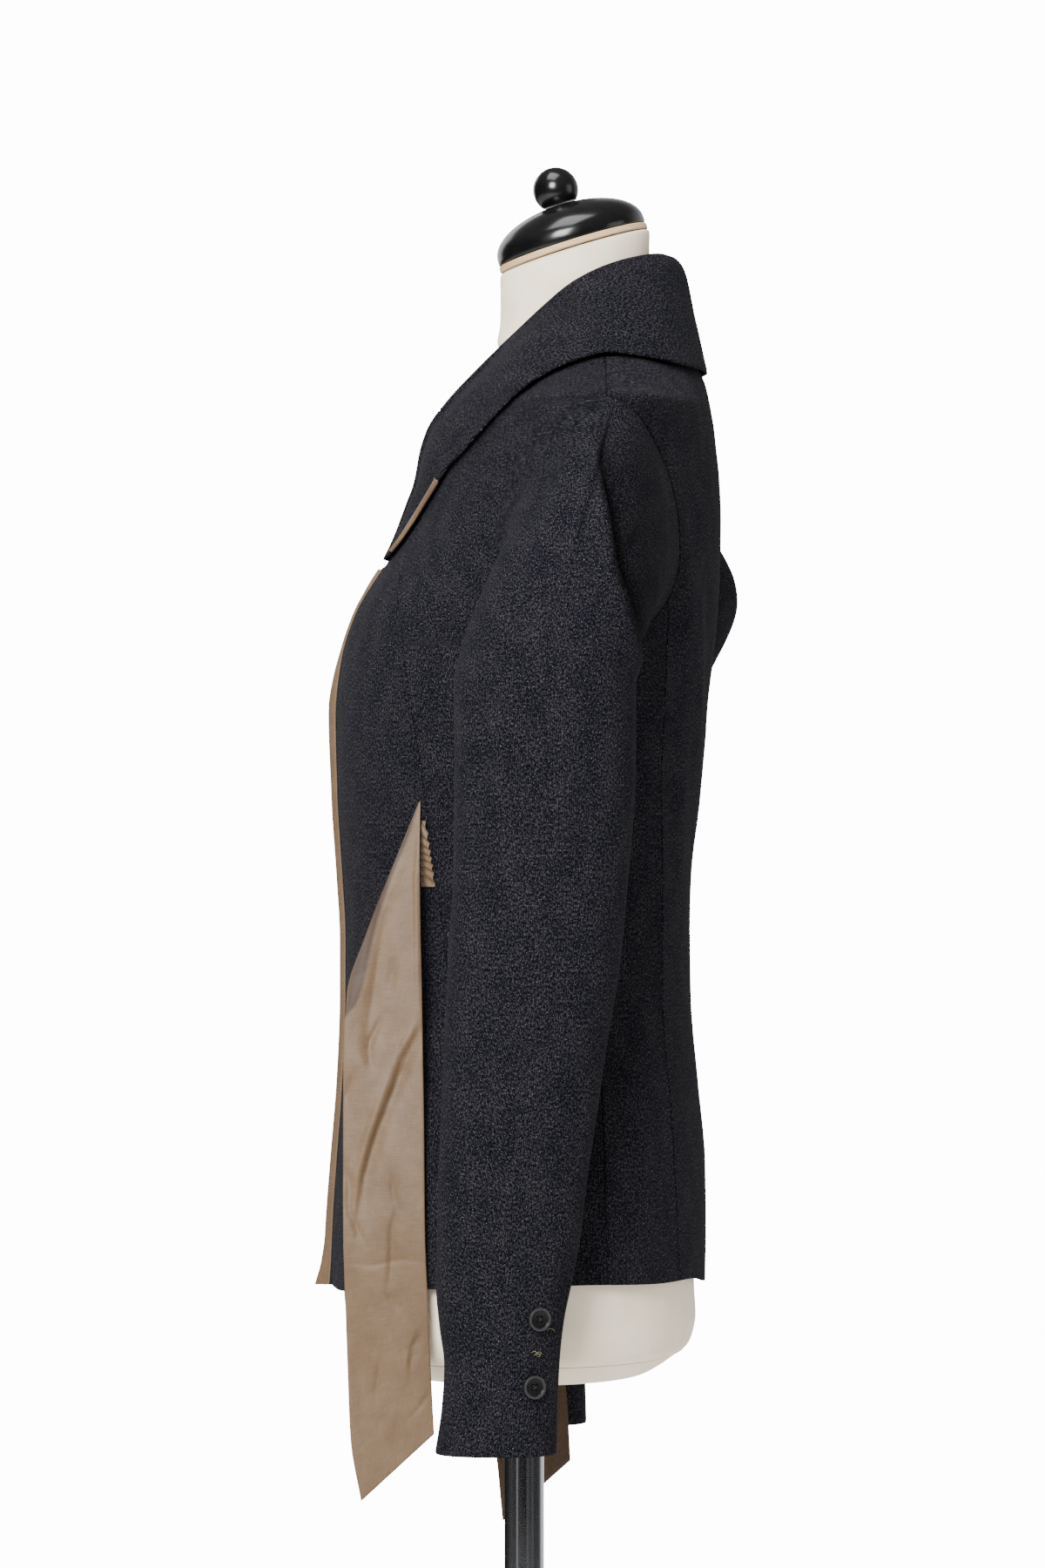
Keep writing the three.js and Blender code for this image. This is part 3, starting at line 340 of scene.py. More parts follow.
class Torso:
    """The outside of the jacket's body."""

    def __init__(self, creases: Sequence[Crease]) -> None:
        """Takes the creases of the body, placed by Y and Z as seen from the side."""
        self.creases = creases

    def bare(self, angle: Array, z: Array) -> Array:
        """Points of the plain section, without flare or creases."""
        z = np.asarray(z, float)
        turn = np.radians(angle)
        c, s = np.cos(turn), np.sin(turn)
        centre = TORSO.at("centre", z)
        depth = np.where(s < 0, centre - TORSO.at("front", z), TORSO.at("back", z) - centre)
        n = TORSO.at("square", z)
        reach = (np.abs(c / TORSO.at("half", z)) ** n + np.abs(s / depth) ** n) ** (-1 / n)
        return polar(angle, reach, centre, z)

    def normal(self, angle: Array, z: Array) -> Array:
        """Outward directions."""
        low = np.minimum(z, NECK_Z - 2)
        round_it = self.bare(angle + 0.5, low) - self.bare(angle - 0.5, low)
        up = self.bare(angle, low + 1.5) - self.bare(angle, low - 1.5)
        return unit(np.cross(round_it, up))

    def slack(self, angle: Array, z: Array) -> Array:
        """How far the cloth stands off the plain section."""
        p = self.bare(angle, z)
        near = np.clip(1 - p[..., 0] / FLARE_WIDTH, 0, 1)
        front = (angle < -45) & (z < BREAK_Z)
        flare = np.where(front, EDGE_FLARE.at("out", z) * near**1.6, 0)
        return flare + creased(self.creases, p[..., 1], z)

    def point(self, angle: Array, z: Array, lift: Array | float = 0.0) -> Array:
        """Points of the cloth.

        Args:
            angle: Angles round the body.
            z: Heights.
            lift: How far the points are moved out from the cloth's outside.

        Returns:
            Points on the wearer's left, which stay off the centre.
        """
        angle, z = np.broadcast_arrays(np.asarray(angle, float), np.asarray(z, float))
        out = (lift + self.slack(angle, z))[..., None]
        point = self.bare(angle, z) + self.normal(angle, z) * out
        point[..., 0] = np.maximum(point[..., 0], HALF_GAP)
        return point

    def angle_at_y(self, z: Array, y: Array) -> Array:
        """The angle at which the section reaches a Y."""
        z = np.asarray(z, float)
        return angle_where(lambda a: self.bare(a, z)[..., 1], y, -90, 90)

    def angle_at_front_x(self, z: Array, x: Array) -> Array:
        """The angle at which the section's front reaches an X."""
        z = np.asarray(z, float)
        return angle_where(lambda a: self.bare(a, z)[..., 0], x, -90, 0)

    def armhole(self, turn: Array) -> tuple[Array, Array]:
        """The armhole's Y and Z at a turn: 0 is the shoulder point and 90 the back."""
        c, s = np.cos(np.radians(turn)), np.sin(np.radians(turn))
        half = np.where(s > 0, ARM_BACK - ARM_BACK_LOW * c, ARM_FRONT - ARM_FRONT_LOW * c)
        return ARM_Y + ARM_LEAN * c + half * s, ARM_Z + ARM_TALL * c

    def armhole_angle(self, z: Array, sign: int) -> Array:
        """The armhole's angle on the body at a height, on its front (-1) or its back (1)."""
        c = np.clip((z - ARM_Z) / ARM_TALL, -1, 1)
        return self.angle_at_y(z, self.armhole(sign * np.degrees(np.arccos(c)))[0])

    def centre_edge(self, z: Array) -> Array:
        """The angle of the front's own edge."""
        above = self.angle_at_front_x(z, NECKLINE.at("x", z))
        return np.where(z < BREAK_Z, -90, above)

    def princess(self, z: Array) -> Array:
        """The angle of the front's princess seam."""
        return np.where(z < YOKE_Z, self.angle_at_y(z, PRINCESS.at("y", z)), 0)

    def side_seam(self, z: Array) -> Array:
        """The angle of the side seam, and of the armhole's back above it."""
        return np.where(z < ARM_LOW_Z, self.angle_at_y(z, SIDE_SEAM.at("y", z)), self.armhole_angle(z, 1))

    def back_seam(self, z: Array) -> Array:
        """The angle of the back's princess seam."""
        return self.angle_at_y(z, BACK_SEAM.at("y", z))

    def side_front_outer(self, z: Array) -> Array:
        """The angle of the side front's outer edge: side seam, armhole, shoulder."""
        low = np.where(z < ARM_LOW_Z, self.side_seam(z), self.armhole_angle(z, -1))
        return np.where(z < ARM_TOP_Z, low, 0)

    def back_outer(self, z: Array) -> Array:
        """The angle of the back's outer edge: back seam, armhole, shoulder."""
        low = np.where(z < BACK_SEAM_TIP_Z, self.back_seam(z), self.armhole_angle(z, 1))
        return np.where(z < ARM_TOP_Z, low, 0)


def grid_normals(grid: Array, closed: bool = False) -> Array:
    """Directions off a grid of points, from its own rows and columns."""
    if closed:
        across = np.roll(grid, -1, axis=1) - np.roll(grid, 1, axis=1)
    else:
        across = np.gradient(grid, axis=1)
    return unit(np.cross(across, np.gradient(grid, axis=0)))


def flat_map(grid: Array, closed: bool = False, column: int = 0) -> Array:
    """The cloth's own flat coordinates on a grid: across from a column and along it, in metres.

    Args:
        grid: Rows and columns of points.
        closed: True on a tube, whose first column then comes again at the end.
        column: The column from which the distance across is counted.

    Returns:
        Pairs of coordinates, one column more than the grid's on a tube.
    """
    ring = np.concatenate([grid, grid[:, :1]], axis=1) if closed else grid
    steps = np.linalg.norm(np.diff(ring, axis=1), axis=-1)
    across = np.concatenate([np.zeros((len(ring), 1)), np.cumsum(steps, axis=1)], axis=1)
    across -= across[:, column : column + 1]
    rises = np.linalg.norm(np.diff(ring[:, column], axis=0), axis=-1)
    along = np.concatenate([[0], np.cumsum(rises)])
    along = np.repeat(along[:, None], ring.shape[1], axis=1)
    return np.stack([across, along], axis=-1) * MM


class Hand:
    """Small jobs at the workbench that every sub-assembly needs."""

    @staticmethod
    def mesh(name: str, points: Array, faces: Array, maps: Array | None = None) -> bpy.types.Object:
        """A mesh object from points in millimetres.

        Args:
            name: The piece's name.
            points: Points in a row.
            faces: Four indexes a face.
            maps: Four pairs of flat coordinates a face.

        Returns:
            The object, smooth and linked to the scene.
        """
        data = bpy.data.meshes.new(name)
        data.from_pydata((points * MM).tolist(), [], faces.tolist())
        if maps is not None:
            layer = data.uv_layers.new(name="cloth")
            layer.data.foreach_set("uv", maps.astype(np.float32).ravel())
        data.polygons.foreach_set("use_smooth", [True] * len(data.polygons))
        data.update()
        piece = bpy.data.objects.new(name, data)
        bpy.context.scene.collection.objects.link(piece)
        return piece

    @staticmethod
    def shell(
        name: str,
        outer: Array,
        inner: Array,
        maps: Array,
        closed: bool = False,
        cut: Callable[[Array, Array], Array] | None = None,
        side: Side = Side.LEFT,
    ) -> bpy.types.Object:
        """A closed wall of cloth between two grids of points.

        Args:
            name: The piece's name.
            outer: The grid of the outside.
            inner: The grid of the inside.
            maps: Flat coordinates, a column more than the grid's where it is a tube.
            closed: True on a tube.
            cut: Says of each cell, by row and column, whether it is cut away.
            side: The side that the piece is made for; the other one is its mirror image.

        Returns:
            The piece.
        """
        rows, columns = outer.shape[:2]
        cells = columns if closed else columns - 1
        has = np.ones((rows - 1, cells), bool)
        if cut is not None:
            has &= ~cut(*np.indices(has.shape))
        index = np.arange(2 * rows * columns).reshape(2, rows, columns)
        following = np.roll(index, -1, axis=2) if closed else index[:, :, 1:]
        a, b = index[:, :-1, :cells], following[:, :-1, :cells]
        c, d = following[:, 1:, :cells], index[:, 1:, :cells]
        flat_a, flat_b = maps[:-1, :cells], maps[:-1, 1 : cells + 1]
        flat_c, flat_d = maps[1:, 1 : cells + 1], maps[1:, :cells]
        frame_of = np.pad(has, ((1, 1), (0, 0)))
        below, above = has & ~frame_of[:-2], has & ~frame_of[2:]
        if closed:
            before, after = has & ~np.roll(has, 1, axis=1), has & ~np.roll(has, -1, axis=1)
        else:
            frame_of = np.pad(has, ((0, 0), (1, 1)))
            before, after = has & ~frame_of[:, :-2], has & ~frame_of[:, 2:]
        faces, flats = [], []

        def lay(mask: Array, corners: tuple[Array, ...], flat: tuple[Array, ...]) -> None:
            """Adds the faces of the cells in a mask."""
            faces.append(np.stack([corner[mask] for corner in corners], axis=-1))
            flats.append(np.stack([corner[mask] for corner in flat], axis=1))

        lay(has, (a[0], b[0], c[0], d[0]), (flat_a, flat_b, flat_c, flat_d))
        lay(has, (a[1], d[1], c[1], b[1]), (flat_a, flat_d, flat_c, flat_b))
        lay(below, (b[0], a[0], a[1], b[1]), (flat_b, flat_a, flat_a, flat_b))
        lay(above, (d[0], c[0], c[1], d[1]), (flat_d, flat_c, flat_c, flat_d))
        lay(before, (a[0], d[0], d[1], a[1]), (flat_a, flat_d, flat_d, flat_a))
        lay(after, (c[0], b[0], b[1], c[1]), (flat_c, flat_b, flat_b, flat_c))
        points = np.concatenate([outer.reshape(-1, 3), inner.reshape(-1, 3)])
        all_faces, all_flats = np.concatenate(faces), np.concatenate(flats)
        if side is Side.RIGHT:
            points = points * (-1, 1, 1)
            all_faces, all_flats = all_faces[:, ::-1], all_flats[:, ::-1] + FAR_SIDE_CLOTH
        piece = Hand.mesh(name, points, all_faces, all_flats)
        Hand.drop_loose(piece)
        return piece

    @staticmethod
    def paint_points(piece: bpy.types.Object, name: str, values: Array) -> None:
        """Gives each point of a piece a number that its material can read."""
        layer = piece.data.attributes.new(name=name, type="FLOAT", domain="POINT")
        layer.data.foreach_set("value", values.astype(np.float32))

    @staticmethod
    def drop_loose(piece: bpy.types.Object) -> None:
        """Deletes the points of a piece that no face uses."""
        Hand.select(piece)
        bpy.ops.object.mode_set(mode="EDIT")
        bpy.ops.mesh.select_all(action="SELECT")
        bpy.ops.mesh.delete_loose()
        bpy.ops.object.mode_set(mode="OBJECT")

    @staticmethod
    def select(piece: bpy.types.Object) -> None:
        """Selects one object and nothing else."""
        bpy.ops.object.select_all(action="DESELECT")
        piece.select_set(True)
        bpy.context.view_layer.objects.active = piece

    @staticmethod
    def finish(piece: bpy.types.Object, material: bpy.types.Material, slot: str) -> None:
        """Gives a piece its material and rides it on the part's one body."""
        piece.data.materials.clear()
        piece.data.materials.append(material)
        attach(piece, ROOT)

    @staticmethod
    def cut_size(grid: Array, closed: bool = False) -> tuple[tuple[float, float], float]:
        """The flat size of the cloth that a grid was made from.

        Args:
            grid: Rows and columns of points.
            closed: True on a tube.

        Returns:
            The width and length of the cut, and its area, in metres.
        """
        ring = np.concatenate([grid, grid[:, :1]], axis=1) if closed else grid
        wide = np.linalg.norm(np.diff(ring, axis=1), axis=-1).sum(axis=1).max()
        long = np.linalg.norm(np.diff(ring, axis=0), axis=-1).sum(axis=0).max()
        a, b, c, d = ring[:-1, :-1], ring[:-1, 1:], ring[1:, 1:], ring[1:, :-1]
        halves = (np.cross(b - a, c - a), np.cross(c - a, d - a))
        area = sum(np.linalg.norm(half, axis=-1).sum() / 2 for half in halves)
        return (round(wide * MM, 3), round(long * MM, 3)), round(area * MM * MM, 4)


SEAM_EDGE = ((0.0, -0.9), (0.5, -0.1), (1.1, 0.3), (2.0, 0.25), (3.4, 0.0))
FREE_EDGE = ((0.0, -0.5), (0.5, -0.12), (1.1, 0.0), (2.0, 0.0), (3.4, 0.0))
HEM_RISE = Table("angle rise", [(-90, 0), (-60, 2), (-30, 8), (0, 12), (40, 11), (65, 7), (90, 3)])
HEM_REACH = 45.0


@dataclass(frozen=True)
class Panel:
    """A piece of the body between two seams."""

    name: str
    levels: Array
    start: Callable[[Array], Array]
    end: Callable[[Array], Array]
    columns: int
    free_start: bool = False
    flat_armhole: bool = False


def levels(low: float, high: float, step: float = CLOTH_STEP) -> Array:
    """Even heights between two, both included."""
    return np.linspace(low, high, max(2, round((high - low) / step) + 1))


class Bodice:
    """The eight panels of the jacket's body."""

    creases = (
        Crease(((100, 1280), (101, 1240), (99, 1196)), 4.5, 2.6),
        Crease(((108, 1262), (108.5, 1205), (107, 1146)), 3.8, 2.2),
        Crease(((115, 1282), (116, 1230), (114, 1178)), 4, -2),
        Crease(((91, 1178), (91, 1140), (93, 1102)), 6.5, -2.2),
        Crease(((97, 1180), (98, 1120), (95, 1060)), 4, 1.3),
        Crease(((104, 1150), (105, 1100), (103, 1045)), 3.2, -1.1),
        Crease(((86, 1120), (84, 1070), (87, 1010)), 5, 1.2),
        Crease(((110, 1345), (104, 1310), (103, 1272)), 7, -2.2),
        Crease(((60, 1150), (58, 1060), (62, 980)), 9, -1.2),
        Crease(((70, 990), (73, 930), (71, 850)), 8, 0.9),
        Crease(((30, 1010), (34, 930), (36, 845)), 10, -0.9),
        Crease(((4, 1000), (0, 930), (2, 840)), 12, 0.9),
        Crease(((-78, 1140), (-84, 1075), (-90, 1010)), 9, -0.9),
        Crease(((-100, 1050), (-102, 950), (-98, 850)), 8, 0.9),
        Crease(((-60, 1245), (-66, 1226), (-80, 1196)), 7, -0.8),
    )

    def __init__(self) -> None:
        """Sets the panels out on the torso."""
        self.torso = Torso(self.creases)
        fine_hem = np.array([HEM_Z, HEM_Z + 0.6, HEM_Z + 1.6, HEM_Z + 3.4])
        low = np.concatenate([fine_hem, levels(HEM_Z + 6, ARM_LOW_Z - 2)])
        arm = ARM_Z - ARM_TALL * np.cos(np.radians(np.linspace(0, 180, 57)))
        shoulder = levels(ARM_TOP_Z + 1.2, YOKE_TIP_Z, 1.25)
        neck = np.concatenate([[YOKE_Z], levels(YOKE_Z + 1.5, NECK_Z - 0.6, 1.6)])
        t = self.torso
        under_tip = arm[arm < BACK_SEAM_TIP_Z - 0.4]
        self.panels = (
            Panel(
                "centre_front",
                np.concatenate([low, arm, shoulder, neck]),
                t.centre_edge,
                t.princess,
                30,
                free_start=True,
            ),
            Panel(
                "side_front",
                np.concatenate([low, arm, shoulder]),
                t.princess,
                t.side_front_outer,
                38,
                flat_armhole=True,
            ),
            Panel(
                "side_back",
                np.concatenate([low, under_tip, [BACK_SEAM_TIP_Z]]),
                t.side_seam,
                t.back_seam,
                18,
            ),
            Panel("back", np.concatenate([low, arm, shoulder, neck]), t.back_outer, self.centre_back, 46),
        )

    @staticmethod
    def centre_back(z: Array) -> Array:
        """The angle of the centre back seam."""
        return np.full(np.shape(z), 90.0)

    def columns(self, panel: Panel) -> tuple[Array, Array]:
        """The angles of a panel's columns on each level, and how far each is lifted.

        Args:
            panel: The panel.

        Returns:
            Two grids, of angles and of lifts.
        """
        z = panel.levels
        start, end = panel.start(z), panel.end(z)

        def size(angle: Array) -> Array:
            """Millimetres to a degree."""
            step = self.torso.bare(angle + 0.5, z) - self.torso.bare(angle - 0.5, z)
            return np.linalg.norm(step, axis=-1)

        profile = np.array(SEAM_EDGE)
        away, lifts = profile[:, 0], profile[:, 1]
        first_lifts = np.array(FREE_EDGE)[:, 1] if panel.free_start else lifts
        wide = (end - start) * (size(start) + size(end)) / 2
        narrow = np.minimum(1, wide / (2.6 * away[-1]))
        first = start[:, None] + (narrow / size(start))[:, None] * away
        last = end[:, None] - (narrow / size(end))[:, None] * away[::-1]
        inner = np.linspace(0, 1, panel.columns + 1)[1:-1]
        middle = first[:, -1:] + (last[:, :1] - first[:, -1:]) * inner
        angles = np.concatenate([first, middle, last], axis=1)
        last_lifts = np.repeat(lifts[None, ::-1], len(z), axis=0)
        if panel.flat_armhole:
            on_armhole = smooth(ARM_LOW_Z, ARM_LOW_Z + 12, z) * smooth(ARM_TOP_Z + 1, ARM_TOP_Z - 9, z)
            last_lifts = last_lifts * (1 - on_armhole)[:, None]
        blank = np.zeros(middle.shape)
        grid_lifts = np.concatenate([np.repeat(first_lifts[None], len(z), axis=0), blank, last_lifts], axis=1)
        return angles, grid_lifts * narrow[:, None]

    def place(self, angles: Array, z: Array, lift: Array | float) -> Array:
        """Points of the cloth, its hem raised at the sides."""
        point = self.torso.point(angles, z, lift)
        fade = np.clip(1 - (z - HEM_Z) / HEM_REACH, 0, 1) ** 2
        ripple = 0.7 * np.sin(angles / 7.0) * np.clip(1 - (z - HEM_Z) / 16, 0, 1)
        point[..., 2] += HEM_RISE.at("rise", angles) * fade + ripple
        return point

    def build(self, wool: bpy.types.Material, trims: Sequence[bpy.types.Object]) -> None:
        """Makes the panels of both sides; the satin trims that are sewn on them are made by SatinWork."""
        for panel in self.panels:
            angles, lifts = self.columns(panel)
            z = np.repeat(panel.levels[:, None], angles.shape[1], axis=1)
            outer = self.place(angles, z, lifts)
            inner = self.place(angles, z, np.minimum(lifts - 0.5, -WALL))
            maps = flat_map(outer, column=angles.shape[1] // 2)
            flat, area = Hand.cut_size(outer)
            for side in Side:
                name = f"{panel.name}_{side.label}"
                piece = Hand.shell(f"cloth_{name}", outer, inner, maps, side=side)
                Hand.finish(piece, wool, "wool_knit")
                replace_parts(piece, name)
                log.info("%s cut %s m, %s square metres", piece.name, flat, area)


SLEEVE = Table(
    "z front back inner outer",
    [
        (1200, -42.5, 67, 163, 250),
        (1145, -42, 66.8, 163.5, 250),
        (1078, -43, 62, 165, 248),
        (1031, -46, 57.5, 168, 246),
        (985, -48, 50, 171, 245),
        (940, -50, 43.5, 175, 243),
        (900, -51.5, 37.5, 178.5, 241),
        (866, -52.5, 33.5, 179.5, 240),
        (840, -53, 28.5, 180, 240),
        (815, -51, 23.5, 180, 240),
        (790, -48, 21, 180.5, 240),
        (765, -49.5, 20, 181, 240.5),
        (738, -53.5, 19.5, 181, 241.5),
    ],
)
SLEEVE_TOP_Z, CUFF_Z = 1200.0, 738.0
SLEEVE_SQUARE = 2.35
CAP_BEND = np.array((0.85, 0.35, 0.12))
SLEEVE_FOLD = Table(
    "z y in",
    [
        (1195, 74, 0),
        (1217, 69.4, 8),
        (1248, 60, 14),
        (1270, 53, 15),
        (1295, 49.6, 14),
        (1318, 45.4, 11),
        (1343, 43, 4),
        (1358, 43, 0),
    ],
)
FOLD_RISE, FOLD_REACH, FOLD_FADE = 3.2, 34.0, 0.5
FOLD_FIRST_TURNS, FOLD_LAST_TURNS = (1.0, 16.0), (132.0, 112.0)
SHADE_NEAR, SHADE_FAR = 14.0, 60.0  # how far behind the fold its shade reaches, at full and at all
VENT_TOP_Z, VENT_TURN, VENT_GAP_TURN = 853.0, 72.0, 2.5
PUSH_REACH = 75.0  # the push behind the right sleeve fades over this on the way down
TURN_SIZE = 0.75  # millimetres of cloth to a degree of turn, for the creases' places


@dataclass(frozen=True)
class Hang:
    """How one sleeve hangs."""

    side: Side
    swing: float
    drop: float
    out: float
    puff: float
    push: float
    creases: tuple[Crease, ...]


LEFT_HANG = Hang(
    Side.LEFT,
    swing=0,
    drop=1,
    out=0,
    puff=0,
    push=0,
    creases=(
        Crease(((8, 886), (4, 862), (-3, 838)), 5, -1.8),
        Crease(((16, 880), (12, 856), (5, 832)), 5, 0.9),
        Crease(((-2, 799), (8, 800.5), (20, 797)), 3, -0.9),
        Crease(((2, 770), (12, 768), (22, 771)), 4, -0.5),
        Crease(((-38, 1240), (-34, 1150), (-37, 1060)), 9, -1.6),
        Crease(((-44, 1080), (-30, 1056), (-14, 1046)), 11, -1.3),
        Crease(((-46, 1040), (-34, 1016), (-22, 1008)), 9, 0.9),
        Crease(((-20, 1000), (4, 960), (22, 930)), 14, -1.2),
        Crease(((36, 1120), (24, 1090), (14, 1080)), 12, -1.1),
        Crease(((30, 1330), (22, 1290), (26, 1250)), 9, -0.8),
        Crease(((-40, 900), (-28, 880), (-12, 872)), 8, -0.9),
        Crease(((-18, 1190), (-8, 1150), (-12, 1110)), 16, 1.0),
        Crease(((48, 1000), (40, 950), (44, 900)), 7, -1.0),
        Crease(((45, 1292), (38, 1280), (31, 1272)), 5, -2.2),
        Crease(((60, 1272), (66, 1256), (70, 1236)), 5, 1.5),
        Crease(((150, 1100), (158, 1020), (152, 930)), 9, -1.6),
        Crease(((120, 1040), (132, 1020), (150, 1012)), 8, -1.4),
    ),
)
RIGHT_HANG = Hang(
    Side.RIGHT,
    swing=22,
    drop=1.053,
    out=5,
    puff=37,
    push=50,
    creases=(
        Crease(((52, 1300), (60, 1262), (58, 1215)), 7, -3.2),
        Crease(((72, 1290), (78, 1255), (76, 1210)), 6, -2.4),
        Crease(((30, 1320), (38, 1270), (34, 1220)), 8, 1.8),
        Crease(((40, 1180), (52, 1150), (66, 1132)), 9, -2),
        Crease(((-44, 1080), (-26, 1052), (-6, 1044)), 11, -1.6),
        Crease(((-24, 1000), (2, 960), (20, 926)), 14, -1.3),
        Crease(((10, 890), (4, 862), (-4, 838)), 5, -1.6),
        Crease(((-40, 900), (-26, 880), (-10, 874)), 8, -1),
        Crease(((-16, 1190), (-8, 1150), (-14, 1105)), 14, 1),
        Crease(((150, 1100), (158, 1020), (150, 925)), 9, -1.6),
    ),
)


class SleeveWork:
    """One sleeve with its vent and the underlap inside it."""

    turns_round = 200
    cap_levels = 44

    def __init__(self, hang: Hang, torso: Torso) -> None:
        """Takes how the sleeve hangs and the body it is set into."""
        self.hang = hang
        self.torso = torso

    def tube(self, turn: Array, z: Array) -> Array:
        """Points of the sleeve below the armhole: turn 0 is its outer side and 90 its back."""
        front, back = SLEEVE.at("front", z), SLEEVE.at("back", z)
        inner, outer = SLEEVE.at("inner", z), SLEEVE.at("outer", z)
        c, s = np.cos(np.radians(turn)), np.sin(np.radians(turn))
        n = SLEEVE_SQUARE
        half, depth = (outer - inner) / 2, (back - front) / 2
        reach = (np.abs(c / half) ** n + np.abs(s / depth) ** n) ** (-1 / n)
        fall = (SLEEVE_TOP_Z - z) / (SLEEVE_TOP_Z - CUFF_Z)
        point = polar(turn, reach, (front + back) / 2, SLEEVE_TOP_Z - (SLEEVE_TOP_Z - z) * self.hang.drop)
        point[..., 0] += (inner + outer) / 2 + self.hang.out * np.minimum(1, fall * 3)
        rear = self.rearward(turn) * np.exp(-(((SLEEVE_TOP_Z - z) / PUSH_REACH) ** 2))
        point[..., 1] += self.hang.swing * fall + self.hang.push * rear
        return point

    @staticmethod
    def rearward(turn: Array) -> Array:
        """How much a column of the sleeve faces backwards, from 0 to 1."""
        return np.maximum(0, np.sin(np.radians(turn))) ** 2

    def column_turns(self, z: Array) -> Array:
        """The turn of each column at each height: below the vent's top the slit opens."""
        turns = np.arange(self.turns_round) * 360 / self.turns_round
        grid = np.repeat(turns[None], len(z), axis=0)
        past = int(round(VENT_TURN * self.turns_round / 360)) + 1
        grid[:, past] = np.where(z < VENT_TOP_Z, VENT_TURN + VENT_GAP_TURN * 0.6, grid[:, past])
        return grid

    def fold_in(self, point: Array, share: Array) -> Array:
        """Lays the deep fold into the cap, its front lip hanging over the hollow behind it.

        Args:
            point: Points of the cap.
            share: How far along the cap each lies, from the armhole.

        Returns:
            The moved points.
        """
        behind = point[..., 1] - SLEEVE_FOLD.at("y", point[..., 2])
        deep = SLEEVE_FOLD.at("in", point[..., 2])
        strength = np.minimum(1, share / FOLD_FADE) ** 2
        tail = np.exp(-np.maximum(0, behind - FOLD_RISE) / FOLD_REACH)
        moved = point.copy()
        moved[..., 0] -= deep * smooth(-0.6, FOLD_RISE, behind) * tail * strength
        over = bump(behind + 1.5, 4.5) - 0.9 * bump(behind - 4.5, 3.2)
        moved[..., 1] += 0.28 * deep * over * strength
        moved[..., 0] += 0.1 * deep * bump(behind + 5, 7) * strength
        return moved

    def cap(self) -> Array:
        """The cap from the tube's top to the armhole, as rows of points."""
        turns = np.arange(self.turns_round) * 360 / self.turns_round
        t = np.linspace(1, 0, self.cap_levels + 1)[1:, None, None]
        y, z = self.torso.armhole(turns)
        start = self.torso.point(self.torso.angle_at_y(z, y), z)
        end = self.tube(turns, np.full(turns.shape, SLEEVE_TOP_Z))
        bend = start + (end - start) * CAP_BEND
        round_it = np.roll(start, -1, axis=0) - np.roll(start, 1, axis=0)
        normal = self.torso.normal(self.torso.angle_at_y(z, y), z)
        on = unit(np.cross(round_it, normal))
        middle = np.stack([start[:, 0], np.full(y.shape, ARM_Y), np.full(y.shape, ARM_Z)], axis=-1)
        on *= np.sign(np.sum(on * (middle - start), axis=-1, keepdims=True))
        signed = (turns + 180) % 360 - 180
        plain = smooth(-168, -140, signed) * smooth(48, 4, signed)
        first = 2 * (bend - start)
        length = np.linalg.norm(first, axis=-1, keepdims=True)
        change = (on * length * 0.8 - first) * plain[:, None]
        point = (1 - t) ** 2 * start + 2 * t * (1 - t) * bend + t**2 * end + t * (1 - t) ** 2 * change
        point[..., 1] += self.hang.puff * self.rearward(turns) * np.sin(np.pi * t[..., 0])
        if self.hang.puff == 0:
            folded = smooth(*FOLD_FIRST_TURNS, turns) * smooth(*FOLD_LAST_TURNS, turns)
            moved = self.fold_in(point, np.broadcast_to(t[..., 0], point.shape[:2]))
            point = point + (moved - point) * folded[None, :, None]
        return point

    def grid(self) -> tuple[Array, Array]:
        """The whole sleeve from the cuff up, and the turn of each of its points."""
        low = np.array([CUFF_Z, CUFF_Z + 0.6, CUFF_Z + 1.6, CUFF_Z + 3.4])
        heights = np.concatenate([low, levels(CUFF_Z + 6, SLEEVE_TOP_Z)])
        turns = self.column_turns(heights)
        tube = self.tube(turns, np.repeat(heights[:, None], self.turns_round, axis=1))
        cap = self.cap()
        everywhere = np.concatenate([turns, np.repeat(turns[-1:], len(cap), axis=0)])
        return np.concatenate([tube, cap]), everywhere

    def shade(self, grid: Array) -> Array:
        """How much of the light the cap's deep fold keeps off each point behind it, from 0 to 1."""
        behind = grid[..., 1] - SLEEVE_FOLD.at("y", grid[..., 2])
        deep = np.minimum(1, SLEEVE_FOLD.at("in", grid[..., 2]) / 7)
        lasting = 0.5 * smooth(SHADE_FAR, SHADE_NEAR, behind) + 0.5 * np.exp(-np.maximum(0, behind) / 7)
        outside = grid[..., 0] > SLEEVE.data["inner"].min()
        return smooth(-1.2, 1.6, behind) * deep * lasting * outside

    def build(self, wool: bpy.types.Material) -> None:
        """Makes the sleeve and its underlap."""
        grid, turns = self.grid()
        signed = np.where(turns > 250, turns - 360, turns)
        rise = creased(self.hang.creases, signed * TURN_SIZE, grid[..., 2])
        grid = grid + grid_normals(grid, closed=True) * rise[..., None]
        normals = grid_normals(grid, closed=True)
        lift = np.zeros(grid.shape[:2])
        rear = smooth(20, 60, signed) * smooth(200, 160, signed)
        lift[-1] = -0.8 * rear[-1]
        lift[-2] = 0.25 * rear[-1]
        lift[0], lift[1] = -0.45, -0.1
        outer = grid + normals * lift[..., None]
        inner = grid - normals * WALL
        slit = int(round(VENT_TURN * self.turns_round / 360))
        last_slit_row = int(np.sum(grid[: len(grid) // 2, slit, 2] < self.vent_top()))
        maps = flat_map(outer, closed=True)
        side = self.hang.side

        def vent(row: Array, column: Array) -> Array:
            """The cells of the slit."""
            return (row < last_slit_row) & (column == slit)

